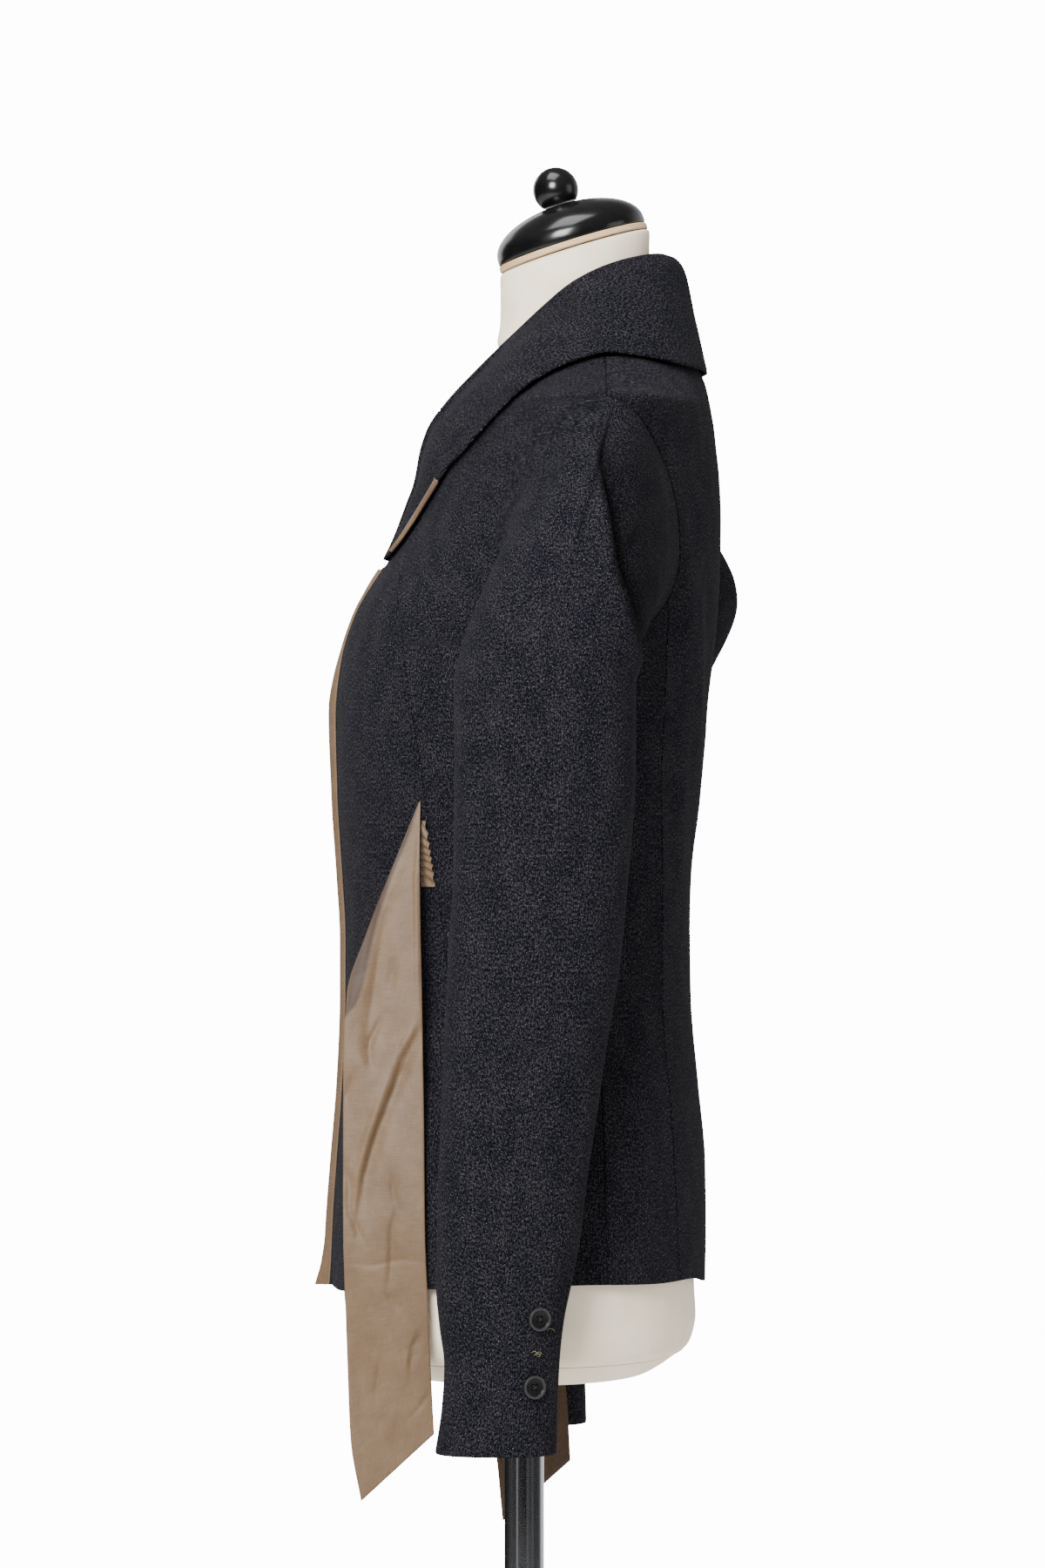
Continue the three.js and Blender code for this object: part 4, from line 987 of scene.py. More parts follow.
        sleeve = Hand.shell(f"cloth_sleeve_{side.label}", outer, inner, maps, True, vent, side)
        if side is Side.LEFT:
            shaded = self.shade(grid)
            Hand.paint_points(sleeve, "shade", np.concatenate([shaded.ravel(), np.zeros(shaded.size)]))
        flat, area = Hand.cut_size(grid, closed=True)
        Hand.finish(sleeve, wool, "wool_knit")
        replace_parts(sleeve, f"sleeve_{side.label}")
        log.info("%s cut %s m, %s square metres", sleeve.name, flat, area)
        self.underlap(wool)

    def vent_top(self) -> float:
        """The height of the vent's top on this sleeve."""
        return SLEEVE_TOP_Z - (SLEEVE_TOP_Z - VENT_TOP_Z) * self.hang.drop

    def underlap(self, wool: bpy.types.Material) -> None:
        """Makes the piece inside the sleeve behind the vent."""
        heights = levels(741, 848)
        turns = np.linspace(54, 108, 30)
        grid = self.tube(*np.meshgrid(turns, heights))
        depth = WALL + 2 * LAID
        normals = grid_normals(grid)
        side = self.hang.side
        outer, inner = grid - normals * depth, grid - normals * (depth + 1.6)
        piece = Hand.shell(f"cloth_vent_underlap_{side.label}", outer, inner, flat_map(outer), side=side)
        flat, area = Hand.cut_size(grid)
        Hand.finish(piece, wool, "wool_knit")
        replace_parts(piece, f"vent_underlap_{side.label}")


ROLL = Table(
    "row foot_angle foot_z x y z edge_y edge_z roll bulge",
    [
        (0, 90, 0, 0, 90.5, 1470.5, 112.5, 1395, 8, 0.5),
        (1, 68, 0, 24, 84.5, 1470, 109.5, 1395, 7.5, 1),
        (2, 46, 0, 43, 69, 1466.5, 98.5, 1395, 7, 3),
        (3, 24, 0, 54.5, 50, 1460, 77.5, 1397.5, 6.5, 4),
        (4, 2, 0, 58.5, 30, 1449.5, 53, 1400, 6, 4.5),
        (5, 0, 1413.5, 57, 12, 1434.5, 32, 1394.6, 5.5, 5),
        (6, 0, 1408, 53, -2, 1422, 11.7, 1384.5, 5, 5.5),
        (7, 0, 1399, 48.5, -14, 1411, -3.8, 1372.5, 4.5, 6),
        (8, 0, 1388, 43.5, -31, 1394.5, -17, 1360, 4, 6),
        (9, 0, 1372, 38, -48.5, 1376, -34, 1342, 4, 6),
        (10, 0, 1359, 33, -59.4, 1361, -45, 1331, 4, 5),
        (11, 0, 1345, 29, -64.5, 1347, -51, 1322.5, 4, 4),
        (12, 0, 1326, 23.5, -68.5, 1327, -58, 1312, 3.5, 3),
        (13, 0, 1312, 18.5, -73.7, 1313, -64.5, 1302, 3, 2.5),
        (14, 0, 1292, 11, -82.4, 1291, -75, 1287, 2.5, 1.5),
        (15, 0, 1280.5, 5.5, -88.2, 1279.5, -82.6, 1278.2, 2, 1),
    ],
)
ROLL_END = 15.0
GORGE_ROW = 9.3
ROLL_DROP = 0.6
FOOT_GAP, FOOT_INSET, EDGE_LIFT = 0.8, 2.3, 3.4
POINT_NAMES = ("foot", "crest", "edge")


class Lapels:
    """The collar, the lapels and the satin on the lapels' edges."""

    path_steps = 44
    collar_creases = (
        Crease(((1.0, 0.62), (2.4, 0.55), (3.8, 0.66)), 0.09, -1.3),
        Crease(((4.6, 0.75), (6.0, 0.68), (7.6, 0.78)), 0.1, 0.9),
        Crease(((6.6, 0.45), (7.8, 0.56), (8.9, 0.6)), 0.07, -0.8),
    )
    row_size = 0.08  # the creases' rows, as shares of the path
    # The satin round the edge: how far in from the edge, and how far off the cloth
    binding_section = (
        (3.3, 1.35), (2.9, 1.75), (1.6, 1.85), (0.3, 1.75), (-0.6, 1.2), (-0.95, 0.3), (-0.7, -0.6),
    )

    def __init__(self, torso: Torso) -> None:
        """Finds the roll's foot, crest and outer edge on the body."""
        rows = ROLL.data
        foot = np.where(
            (rows["foot_z"] > 0)[:, None],
            torso.point(
                torso.angle_at_front_x(rows["foot_z"], NECKLINE.at("x", rows["foot_z"]) - FOOT_INSET),
                np.maximum(rows["foot_z"], BREAK_Z),
                -WALL / 2,
            ),
            torso.point(rows["foot_angle"], NECK_Z, -WALL / 2) + (0, 0, FOOT_GAP),
        )
        edge = torso.point(torso.angle_at_y(rows["edge_z"], rows["edge_y"]), rows["edge_z"], EDGE_LIFT)
        crest = np.stack([rows["x"], rows["y"], rows["z"]], axis=-1)
        foot[0, 0] = edge[0, 0] = 0
        columns = " ".join(f"{point}_{axis}" for point in POINT_NAMES for axis in "xyz")
        places = np.concatenate([rows["row"][:, None], foot, crest, edge], axis=1)
        self.places = Table(f"row {columns}", places)

    def path(self, rows: Array, steps: Array) -> Array:
        """The cloth's way from the neckline over the roll to the outer edge.

        Args:
            rows: Places along the roll.
            steps: Shares of the path, from 0 at the foot to 1 at the edge.

        Returns:
            A grid of points, a row for each place.
        """
        foot, crest, edge = (
            np.stack([self.places.at(f"{point}_{axis}", rows) for axis in "xyz"], axis=-1)
            for point in POINT_NAMES
        )
        outward = edge - foot
        outward[:, 2] = 0
        outward = unit(outward)
        up = crest - foot
        up = unit(up - outward * np.sum(up * outward, axis=-1, keepdims=True))
        roll = ROLL.at("roll", rows)[:, None]
        inside = crest - outward * roll - up * ROLL_DROP * roll
        outside = crest + outward * roll - up * ROLL_DROP * roll
        fall = edge - outside
        share = -np.sum(up * fall, axis=-1, keepdims=True) / np.sum(fall * fall, axis=-1, keepdims=True)
        lift = unit(up + fall * share)
        middle = (outside + edge) / 2 + lift * ROLL.at("bulge", rows)[:, None]
        return self.spline(np.stack([foot, inside, crest, outside, middle, edge], axis=1), steps)

    @staticmethod
    def spline(points: Array, steps: Array) -> Array:
        """A smooth curve through each row of points, tighter where they are close.

        Args:
            points: Rows of points.
            steps: Shares of the curve.

        Returns:
            Rows of points on the curves.
        """
        before = 2 * points[:, :1] - points[:, 1:2]
        after = 2 * points[:, -1:] - points[:, -2:-1]
        ring = np.concatenate([before, points, after], axis=1)
        stretches = points.shape[1] - 1
        place = np.clip(steps * stretches, 0, stretches - 1e-6)
        i = place.astype(int)
        t = (place - i)[None, :, None]
        p0, p1, p2, p3 = (ring[:, i + k] for k in range(4))
        d0, d1, d2 = (
            np.sqrt(np.linalg.norm(b - a, axis=-1, keepdims=True)) for a, b in ((p0, p1), (p1, p2), (p2, p3))
        )
        m1 = ((p1 - p0) / d0 - (p2 - p0) / (d0 + d1) + (p2 - p1) / d1) * d1
        m2 = ((p2 - p1) / d1 - (p3 - p1) / (d1 + d2) + (p3 - p2) / d2) * d1
        return (
            p1 * (2 * t**3 - 3 * t**2 + 1)
            + m1 * (t**3 - 2 * t**2 + t)
            + p2 * (3 * t**2 - 2 * t**3)
            + m2 * (t**3 - t**2)
        )

    @staticmethod
    def edged(first: float, last: float, count: int, setback: float) -> Array:
        """Even places between two, with three more close to each end.

        Args:
            first: The first place.
            last: The last one.
            count: How many even places there are.
            setback: How far the closer ones lie from the ends.

        Returns:
            The places in order.
        """
        close = np.array([0.25, 0.6]) * setback
        inner = np.linspace(first + setback, last - setback, count)
        return np.concatenate([[first], first + close, inner, last - close[::-1], [last]])

    def cloth(self, name: str, rows: Array, wool: bpy.types.Material, sides: Sequence[Side]) -> None:
        """A piece of the roll, and its mirror image where it is one of a pair.

        Args:
            name: The node's name without its side.
            rows: Places along the roll, from its back or gorge to its front.
            wool: Its material.
            sides: The sides that get one, or none where the piece goes round the neck.
        """
        steps = self.edged(0, 1, self.path_steps, 0.035)
        grid = self.path(rows, steps)
        across, up = np.meshgrid(steps, rows * self.row_size)
        creases = [
            Crease(tuple((share, row * self.row_size) for row, share in c.places), c.wide, c.out)
            for c in self.collar_creases
        ]
        rise = creased(creases, across, up)
        if not sides:
            grid = np.concatenate([grid[::-1], grid[1:] * (-1, 1, 1)])
            rise = np.concatenate([rise[::-1], rise[1:]])
        else:
            grid, rise = grid[::-1], rise[::-1]
        grid = grid + grid_normals(grid) * rise[..., None]
        normals = grid_normals(grid)
        lift = np.full(grid.shape[:2], WALL / 2)
        lift[:, 0] -= 0.5
        lift[:, -1] -= 0.5
        lift[:, -2] -= 0.1
        for row, drop in ((0, 0.7), (1, 0.1), (2, -0.15)):
            lift[-1 - row] -= drop
            if not sides:
                lift[row] -= drop
        outer = grid + normals * lift[..., None]
        inner = grid - normals * (lift - 0.05)[..., None]
        maps = self.on_the_bias(flat_map(outer, column=grid.shape[1] // 2))
        flat, area = Hand.cut_size(grid)
        for side in sides or [Side.LEFT]:
            node = f"{name}_{side.label}" if sides else name
            piece = Hand.shell(f"cloth_{node}", outer, inner, maps, side=side)
            Hand.finish(piece, wool, "wool_knit")
            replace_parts(piece, node)
            log.info("%s cut %s m, %s square metres", piece.name, flat, area)

    @staticmethod
    def on_the_bias(maps: Array) -> Array:
        """Flat coordinates turned, because the collar and lapels are cut across the wales."""
        turn = math.radians(38)
        c, s = math.cos(turn), math.sin(turn)
        return np.stack([maps[..., 0] * c - maps[..., 1] * s, maps[..., 0] * s + maps[..., 1] * c], axis=-1)

    def binding(self, satin: bpy.types.Material) -> None:
        """The satin folded round the lapel's outer edge."""
        rows = np.linspace(GORGE_ROW + 1.5, ROLL_END - 0.3, 70)
        ends = self.path(rows, np.array([0.985, 1.0]))
        back = unit(ends[:, 0] - ends[:, 1])
        along = unit(np.gradient(ends[:, 1], axis=0))
        normal = unit(np.cross(along, back))
        normal *= np.sign(normal[:, 2:3])
        places = np.arange(len(rows))
        crinkle = 0.35 * np.exp(-places / 7.0) * np.sin(places * 1.9)
        tuck = 1.2 * np.exp(-places / 3.0)
        grid = np.stack(
            [
                ends[:, 1]
                + back * (inward + tuck)[:, None]
                + normal * (out + crinkle * (inward > 0))[:, None]
                for inward, out in self.binding_section
            ],
            axis=1,
        )[::-1]
        off = grid_normals(grid)
        facing = np.sign(np.sum(off[:, 2] * normal[::-1], axis=-1).mean())
        outer, inner = grid, grid - off * facing * 0.35
        if facing < 0:
            outer, inner = grid[::-1], inner[::-1]
        for side in Side:
            node = f"lapel_binding_{side.label}"
            piece = Hand.shell(f"satin_{node}", outer, inner, flat_map(outer), side=side)
            Hand.finish(piece, satin, "satin")
            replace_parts(piece, node)

    def build(self, wool: bpy.types.Material, satin: bpy.types.Material) -> None:
        """Makes the collar, both lapels and their satin."""
        self.binding(satin)
        close = [GORGE_ROW - 0.072, GORGE_ROW - 0.03, GORGE_ROW]
        self.cloth("collar", np.concatenate([np.linspace(0, GORGE_ROW - 0.12, 110), close]), wool, ())
        self.cloth("lapel", self.edged(GORGE_ROW, ROLL_END, 60, 0.12), wool, tuple(Side))


SASH_COLUMNS = "row front_z front_y back_z back_y out turn"
SASH_LEFT = Table(
    SASH_COLUMNS,
    [
        (0, 1127, -64.4, 1127, -63.5, 127.4, 0),
        (1, 1085, -81.5, 1089, -63.8, 132.6, 2),
        (2, 1046, -97, 1052, -63.4, 137.6, 3),
        (3, 1010, -108.5, 1010, -62.3, 142.8, 4),
        (4, 975, -110.2, 975, -61.7, 147.2, 4),
        (5, 935, -110.3, 935, -61, 152.2, 5),
        (6, 895, -110.2, 895, -60.5, 157.2, 5),
        (7, 860, -109.8, 862, -60, 160.6, 5),
        (8, 820, -108.6, 828, -58.6, 161.6, 5),
        (9, 780, -107.2, 798, -57.4, 161.6, 4),
        (10, 740, -105.3, 770, -56, 161.6, 3),
        (11, 703, -99, 744, -54.6, 161.6, 2),
    ],
)
SASH_TURNED = Table(
    "z y",
    [
        (993, -110.5),
        (997.6, -107),
        (1005.6, -101.7),
        (1021.5, -96.4),
        (1042.6, -91.6),
        (1053.2, -89),
        (1073.3, -83.1),
        (1090.3, -76.8),
        (1108, -69.6),
        (1127, -64),
    ],
)
INSIDE_DULLNESS_AND_SHADE = 0.95  # how much of the turned edge's darkening the satin's inside shows: the duller wrong side, and painted shade
SASH_RIGHT = Table(
    SASH_COLUMNS,
    [
        (0, 1127, -66, 1127, -63.5, 127.6, 0),
        (1, 1118, -68, 1120, -60.5, 131.4, 0),
        (2, 1080, -72, 1092, -48, 136.4, 0),
        (3, 1035, -69, 1050, -30, 144.8, 0),
        (4, 985, -61, 1000, -17.5, 154.6, 0),
        (5, 935, -53, 945, -6.5, 164.8, 0),
        (6, 880, -44, 890, 4, 174.6, 0),
        (7, 845, -38.5, 855, 9.5, 176.8, 0),
        (8, 800, -31.5, 812, 17, 177.6, 0),
        (9, 745, -24, 765, 24.5, 177.6, 0),
        (10, 700, -18.8, 728, 28.5, 177.6, 0),
        (11, 652, -14.2, 692, 30.5, 177.6, 0),
    ],
)
TAB = Table(
    "z front back",
    [(1075, -62.5, -54), (1087, -62.8, -55.4), (1103, -62.6, -57.8), (1116, -62.3, -59.8)],
)
TAB_BOTTOM, TAB_TOP = 1075.0, 1115.6


class SatinWork:
    """The sash ends, the gathered tabs in their slots and the strips on the front edges."""

    left_creases = (
        Crease(((-61, 994), (-68.3, 981), (-74.7, 970), (-79.4, 954), (-84.2, 942)), 2.2, -2.0, 2.8),
        Crease(
            ((-76, 962), (-84.2, 942), (-89.5, 928), (-94, 914), (-98, 899), (-102.4, 868)), 2.0, -3.0, 3.2
        ),
        Crease(((-79, 968), (-88, 942), (-95, 922), (-101, 900), (-104, 880)), 3.2, 1.7),
        Crease(((-66, 990), (-72, 980), (-79, 962)), 2.6, 1.2),
        Crease(((-77, 1088), (-86, 1066), (-91.6, 1042.6), (-96.4, 1021.5), (-105, 998)), 2.8, 0.8, 1.6),
        Crease(((-82, 1066), (-87, 1044), (-90.5, 1020), (-94.5, 994), (-96, 974)), 3.4, -1.5, 1.6),
        Crease(((-86.5, 998), (-91, 988), (-95.6, 979)), 1.5, -1.1, 2.2),
        Crease(((-95, 988), (-94.6, 976), (-93, 962)), 3.0, -1.0),
        Crease(((-80, 1034), (-80.8, 1021), (-83, 1008)), 3.6, -1.3),
        Crease(((-103, 962), (-107, 951), (-110, 944)), 2.6, -1.1),
        Crease(((-110, 906), (-105.6, 893), (-106.4, 876)), 3.2, -1.5),
        Crease(((-108, 884), (-103.6, 872), (-97, 858)), 2.0, -1.0),
        Crease(((-80.5, 902), (-80.3, 892), (-77.4, 880)), 1.4, -0.9, 2.0),
        Crease(((-77.4, 880), (-80.8, 868), (-81.4, 846), (-83.3, 829)), 1.6, -1.2, 2.4),
        Crease(((-84, 830), (-80, 824), (-75, 817)), 1.5, -1.1, 2.0),
        Crease(((-110, 848), (-92, 846), (-74, 850), (-60, 848)), 1.5, -0.5),
        Crease(((-63.4, 806), (-68.4, 796), (-70.2, 781)), 1.5, -1.4, 2.2),
        Crease(((-66.5, 801), (-71.6, 788), (-71, 778)), 2.0, 0.9),
        Crease(((-86.8, 793), (-89, 777), (-91, 760)), 2.0, -1.0, 2.0),
        Crease(((-99, 806), (-99.6, 780), (-97, 754)), 5.0, -1.2),
        Crease(((-78, 764), (-82, 748), (-90, 736)), 4.0, 1.1),
        Crease(((-58, 770), (-62, 762), (-70, 753)), 1.8, -0.8),
        Crease(((-63.2, 1120), (-66, 1080), (-65.4, 1030), (-64.6, 1000)), 1.6, 0.9),
    )
    right_creases = (
        Crease(((-58, 1060), (-50, 1010), (-40, 960)), 6, -2.4),
        Crease(((-44, 1040), (-36, 980), (-20, 940)), 5, 1.7),
        Crease(((-36, 900), (-24, 860), (-18, 810)), 6, -2),
        Crease(((-8, 860), (-2, 800), (8, 760)), 5, 1.5),
        Crease(((-14, 760), (0, 720), (4, 690)), 5, -1.6),
        Crease(((14, 780), (18, 740), (22, 705)), 4, -1.4),
    )

    def __init__(self, bodice: Bodice) -> None:
        """Takes the body that the satin lies on."""
        self.bodice = bodice

    def sash(self, side: Side, satin: bpy.types.Material) -> None:
        """One hanging sash end, its upper front edge folded over."""
        table = SASH_LEFT if side is Side.LEFT else SASH_RIGHT
        creases = self.left_creases if side is Side.LEFT else self.right_creases
        rows = np.concatenate([np.linspace(11, 10.9, 3), np.linspace(10.87, 0, 290)])[:, None]
        t = np.concatenate([[0, 0.012, 0.035], np.linspace(0.06, 0.94, 44), [0.965, 0.988, 1]])
        value = {name: table.at(name, rows) for name in table.data}
        y = value["front_y"] + (value["back_y"] - value["front_y"]) * t
        z = value["front_z"] + (value["back_z"] - value["front_z"]) * t
        x = value["out"] - value["turn"] * (1 - t)
        grid = np.stack(np.broadcast_arrays(x, y, z), axis=-1)
        rise = creased(creases, y, z)
        wave = 0.5 * np.sin(z / 19.0 + 6 * t) * smooth(1120, 1050, z)
        normals = grid_normals(grid)
        settle = smooth(1127, 1100, z)
        grid = grid + normals * ((rise + wave) * settle)[..., None]
        normals = grid_normals(grid)
        lift = np.full(grid.shape[:2], SATIN / 2)
        lift[:, 0] -= 0.3
        lift[:, -1] -= 0.3
        lift[0] -= 0.3
        outer, inner = grid + normals * lift[..., None], grid - normals * lift[..., None]
        flat, area = Hand.cut_size(grid)
        piece = Hand.shell(f"satin_sash_{side.label}", outer, inner, flat_map(outer), side=side)
        # The turned band and the satin's inside are darkened: partly the duller wrong side, partly painted
        # shade where they face away from the light.
        turned = np.zeros(grid.shape[:2])
        if side is Side.LEFT:
            past = grid[..., 1] - SASH_TURNED.at("y", grid[..., 2])
            turned = smooth(1.0, -1.4, past) * smooth(992, 1000, grid[..., 2])
        inside = np.full(turned.size, INSIDE_DULLNESS_AND_SHADE)
        Hand.paint_points(piece, "wrong_side_and_shade", np.concatenate([turned.ravel(), inside]))
        Hand.finish(piece, satin, "satin")
        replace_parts(piece, f"sash_{side.label}")
        log.info("%s cut %s m, %s square metres", piece.name, flat, area)

    @staticmethod
    def trim(
        node: str, outer: Array, inner: Array, side: Side, satin: bpy.types.Material
    ) -> bpy.types.Object:
        """A piece of satin that is sewn flat on a panel."""
        piece = Hand.shell(f"satin_{node}", outer, inner, flat_map(outer), side=side)
        Hand.finish(piece, satin, "satin")
        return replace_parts(piece, node)

    def tabs(self, satin: bpy.types.Material) -> list[bpy.types.Object]:
        """The gathered satin that shows in each slot."""
        z = np.linspace(TAB_BOTTOM, TAB_TOP, 90)[:, None]
        t = np.linspace(0, 1, 12)
        front, back = TAB.at("front", z), TAB.at("back", z)
        y = front + (back - front) * t
        torso = self.bodice.torso
        heights = np.repeat(z, len(t), axis=1)
        angle = torso.angle_at_y(heights, y)
        beat = (heights - TAB_BOTTOM) / 5.6 + 0.9 * t + 0.35 * np.sin(heights / 6.0)
        gather = 0.9 * (1 - np.cos(2 * np.pi * beat)) * (0.5 + 0.5 * t)
        inner = torso.point(angle, heights, LAID + gather)
        outer = torso.point(angle, heights, LAID + gather + 0.5)
        return [self.trim(f"slot_tab_{side.label}", outer, inner, side, satin) for side in Side]

    def strips(self, satin: bpy.types.Material) -> list[bpy.types.Object]:
        """The satin strip along each open front edge."""
        panel = self.bodice.panels[0]
        z = panel.levels[panel.levels < BREAK_Z - 0.3]
        start, end = panel.start(z), panel.end(z)
        torso = self.bodice.torso
        size = np.linalg.norm(torso.bare(start + 0.5, z) - torso.bare(start - 0.5, z), axis=-1)
        narrow = np.minimum(1, (end - start) * size / 26)
        away = np.array([0.25, 0.5, 1.2, 3, 5, 6.2, 6.8, 7.2, 7.8, 8.6, 9.0])
        lifts = np.array([0.3, 1.0, 1.45, 1.6, 1.6, 1.5, 1.1, 1.05, 1.3, 1.2, 0.5])
        angles = start[:, None] + (narrow / size)[:, None] * away
        heights = np.repeat(z[:, None], len(away), axis=1)
        outer = self.bodice.place(angles, heights, lifts)
        inner = self.bodice.place(angles, heights, lifts * 0 + 0.1)
        return [self.trim(f"front_binding_{side.label}", outer, inner, side, satin) for side in Side]

    def build(self, satin: bpy.types.Material) -> None:
        """Makes both sash ends."""
        for side in Side:
            self.sash(side, satin)


BUTTON_RADIUS, BUTTON_THICK, BUTTON_SEAT = 7.0, 2.8, 0.9
BUTTON_PLACES = {"upper": (820.0, 8.2), "lower": (779.6, 5.1)}
BUTTON_RIM, BUTTON_DISH, HOLE_RADIUS, HOLE_SPREAD = 1.3, 1.0, 0.85, 1.8
RIM_SLOPE, DISH_FLAT, DISH_SINK, BUTTON_ROUNDING = 0.5, 2.2, 0.2, 0.35


def close_up() -> None:
    """Turns the faces of the piece in edit mode outwards and leaves edit mode."""
    bpy.ops.mesh.select_all(action="SELECT")
    bpy.ops.mesh.normals_make_consistent(inside=False)
    bpy.ops.object.mode_set(mode="OBJECT")


class CuffButtons:
    """The buttons on the cuffs and the threads that a lost one has left."""

    thread_radius = 0.13
    thread_reach = 0.74  # of the holes' spread
    # Two crossing threads: X and Y as shares of their reach, and the height over the seat
    crosses = (
        ((-1, -1, 1.2), (-0.7, -0.7, 2.1), (0.7, 0.7, 2.15), (1, 1, 1.2)),
        ((-1, 1, 1.2), (-0.7, 0.7, 2.3), (0.7, -0.7, 2.3), (1, -1, 1.2)),
    )
    # The lost button: its height and Y, and the ends of its threads
    lost_place, tail_place, lost_off = (799.6, 7.4), (813.4, 15.0), 0.2
    lost_ends = (
        ((-3.4, 0.6, 0), (-2.2, 1.5, 0.9), (-0.6, 0.5, 1.2), (0.9, -0.6, 0.7), (2.6, 0.3, 0)),
        ((-1.6, -0.9, 0), (-0.2, 0.5, 1.0), (1.6, 0.9, 1.1), (2.9, -0.7, 0.2)),
        ((-0.4, -1.2, 0), (0.4, -0.2, 1.4), (1.4, -1.4, 1.2), (0.4, -2.1, 0.3)),
    )
    tail_end = ((-2.8, -0.2, 0.4), (-0.8, 0.7, 0.8), (1.4, 0.3, 0.9), (3.4, -1.0, 0.5))

    def __init__(self, sleeves: dict[Side, SleeveWork]) -> None:
        """Takes the sleeves that the buttons are sewn on."""
        self.sleeves = sleeves

    def seat(self, side: Side, z: float, y: float, off: float) -> Matrix:
        """The place and facing of a thing on a sleeve's outer side.

        Args:
            side: The sleeve's side.
            z: The height on a sleeve that hangs straight.
            y: How far back it lies there.
            off: How far it stands off the cloth.

        Returns:
            A matrix in metres, its Z off the cloth and its Y up the sleeve.
        """
        straight, sleeve = self.sleeves[Side.LEFT], self.sleeves[side]
        turn = angle_where(lambda a: straight.tube(a, np.full(a.shape, z))[..., 1], np.array([y]), -90, 90)
        here = np.array([z])
        point = sleeve.tube(turn, here)[0]
        across = (sleeve.tube(turn + 2, here) - sleeve.tube(turn - 2, here))[0]
        up = (sleeve.tube(turn, here + 3) - sleeve.tube(turn, here - 3))[0]
        normal = unit(np.cross(across, up))
        up = unit(up)
        across = np.cross(up, normal)
        place = Matrix.Identity(4)
        for column, axis in enumerate((across, up, normal, point + normal * off)):
            scale = MM if column == 3 else 1.0
            for row in range(3):
                place[row][column] = float(axis[row]) * scale
        return Matrix.Diagonal((side.value, 1, 1, 1)) @ place

    def blank(self) -> bpy.types.Object:
        """One button lying face up, its back at the origin."""
        bpy.ops.object.select_all(action="DESELECT")
        bpy.ops.mesh.primitive_cylinder_add(
            vertices=64,
            radius=BUTTON_RADIUS * MM,
            depth=BUTTON_THICK * MM,
            location=(0, 0, BUTTON_THICK / 2 * MM),
        )
        button = bpy.context.object
        bpy.ops.object.transform_apply(location=True, rotation=True, scale=True)
        bpy.ops.object.mode_set(mode="EDIT")
        self.pick_top(button)
        bpy.ops.mesh.inset(thickness=BUTTON_RIM * MM, depth=0)
        bpy.ops.mesh.inset(thickness=RIM_SLOPE * MM, depth=-BUTTON_DISH * MM)
        bpy.ops.mesh.inset(thickness=DISH_FLAT * MM, depth=-DISH_SINK * MM)
        bpy.ops.object.mode_set(mode="OBJECT")
        width = BUTTON_ROUNDING * MM
        self.apply(button, "BEVEL", width=width, segments=3, limit_method="ANGLE", angle_limit=0.6)
        drill = self.drill()
        self.apply(button, "BOOLEAN", operation="DIFFERENCE", object=drill, solver="EXACT")
        bpy.data.objects.remove(drill)
        # Painted highlight: the rim's top is marked so that its material paints it lighter, where the rim
        # catches the light.
        points = np.array([point.co for point in button.data.vertices]) / MM
        reach = np.hypot(points[:, 0], points[:, 1])
        on_rim = smooth(BUTTON_RADIUS - 2 * BUTTON_RIM, BUTTON_RADIUS - BUTTON_RIM, reach)
        on_top = smooth(BUTTON_THICK - 0.7, BUTTON_THICK - 0.2, points[:, 2])
        Hand.paint_points(button, "painted_rim_highlight", on_rim * on_top)
        Hand.select(button)
        bpy.ops.object.shade_smooth_by_angle(angle=0.7)
        return button

    @staticmethod
    def pick_top(piece: bpy.types.Object) -> None:
        """Selects the faces of a piece in edit mode that lie on its top."""
        bpy.ops.mesh.select_mode(type="FACE")
        bpy.ops.mesh.select_all(action="DESELECT")
        bpy.ops.object.mode_set(mode="OBJECT")
        for face in piece.data.polygons:
            face.select = face.normal.z > 0.9
        bpy.ops.object.mode_set(mode="EDIT")

    @staticmethod
    def apply(piece: bpy.types.Object, kind: str, **settings: object) -> None:
        """Adds a modifier to a piece and applies it."""
        Hand.select(piece)
        modifier = piece.modifiers.new(kind.lower(), kind)
        for name, value in settings.items():
            setattr(modifier, name, value)
        bpy.ops.object.modifier_apply(modifier=modifier.name)

    @staticmethod
    def drill() -> bpy.types.Object:
        """Four thin rods where the sewing holes go."""
        rods = []
        for quarter in range(4):
            turn = math.radians(45 + 90 * quarter)
            bpy.ops.object.select_all(action="DESELECT")
            bpy.ops.mesh.primitive_cylinder_add(
                vertices=20,
                radius=HOLE_RADIUS * MM,
                depth=4 * BUTTON_THICK * MM,
                location=(HOLE_SPREAD * math.cos(turn) * MM, HOLE_SPREAD * math.sin(turn) * MM, 0),
            )
            rods.append(bpy.context.object)
        for rod in rods:
            rod.select_set(True)
        bpy.ops.object.join()
        return bpy.context.object

    def thread(self, points: Sequence[tuple[float, float, float]], place: Matrix) -> bpy.types.Object:
        """A short length of sewing thread through some points, in millimetres, on a seat."""
        curve = bpy.data.curves.new("thread", "CURVE")
        curve.dimensions = "3D"
        curve.bevel_depth = self.thread_radius * MM
        curve.bevel_resolution = 2
        curve.use_fill_caps = True
        line = curve.splines.new("BEZIER")
        line.bezier_points.add(len(points) - 1)
        for knot, point in zip(line.bezier_points, points):
            knot.co = [value * MM for value in point]
            knot.handle_left_type = knot.handle_right_type = "AUTO"
        piece = bpy.data.objects.new("thread", curve)
        bpy.context.scene.collection.objects.link(piece)
        Hand.select(piece)
        bpy.ops.object.convert(target="MESH")
        piece.data.transform(place)
        return piece

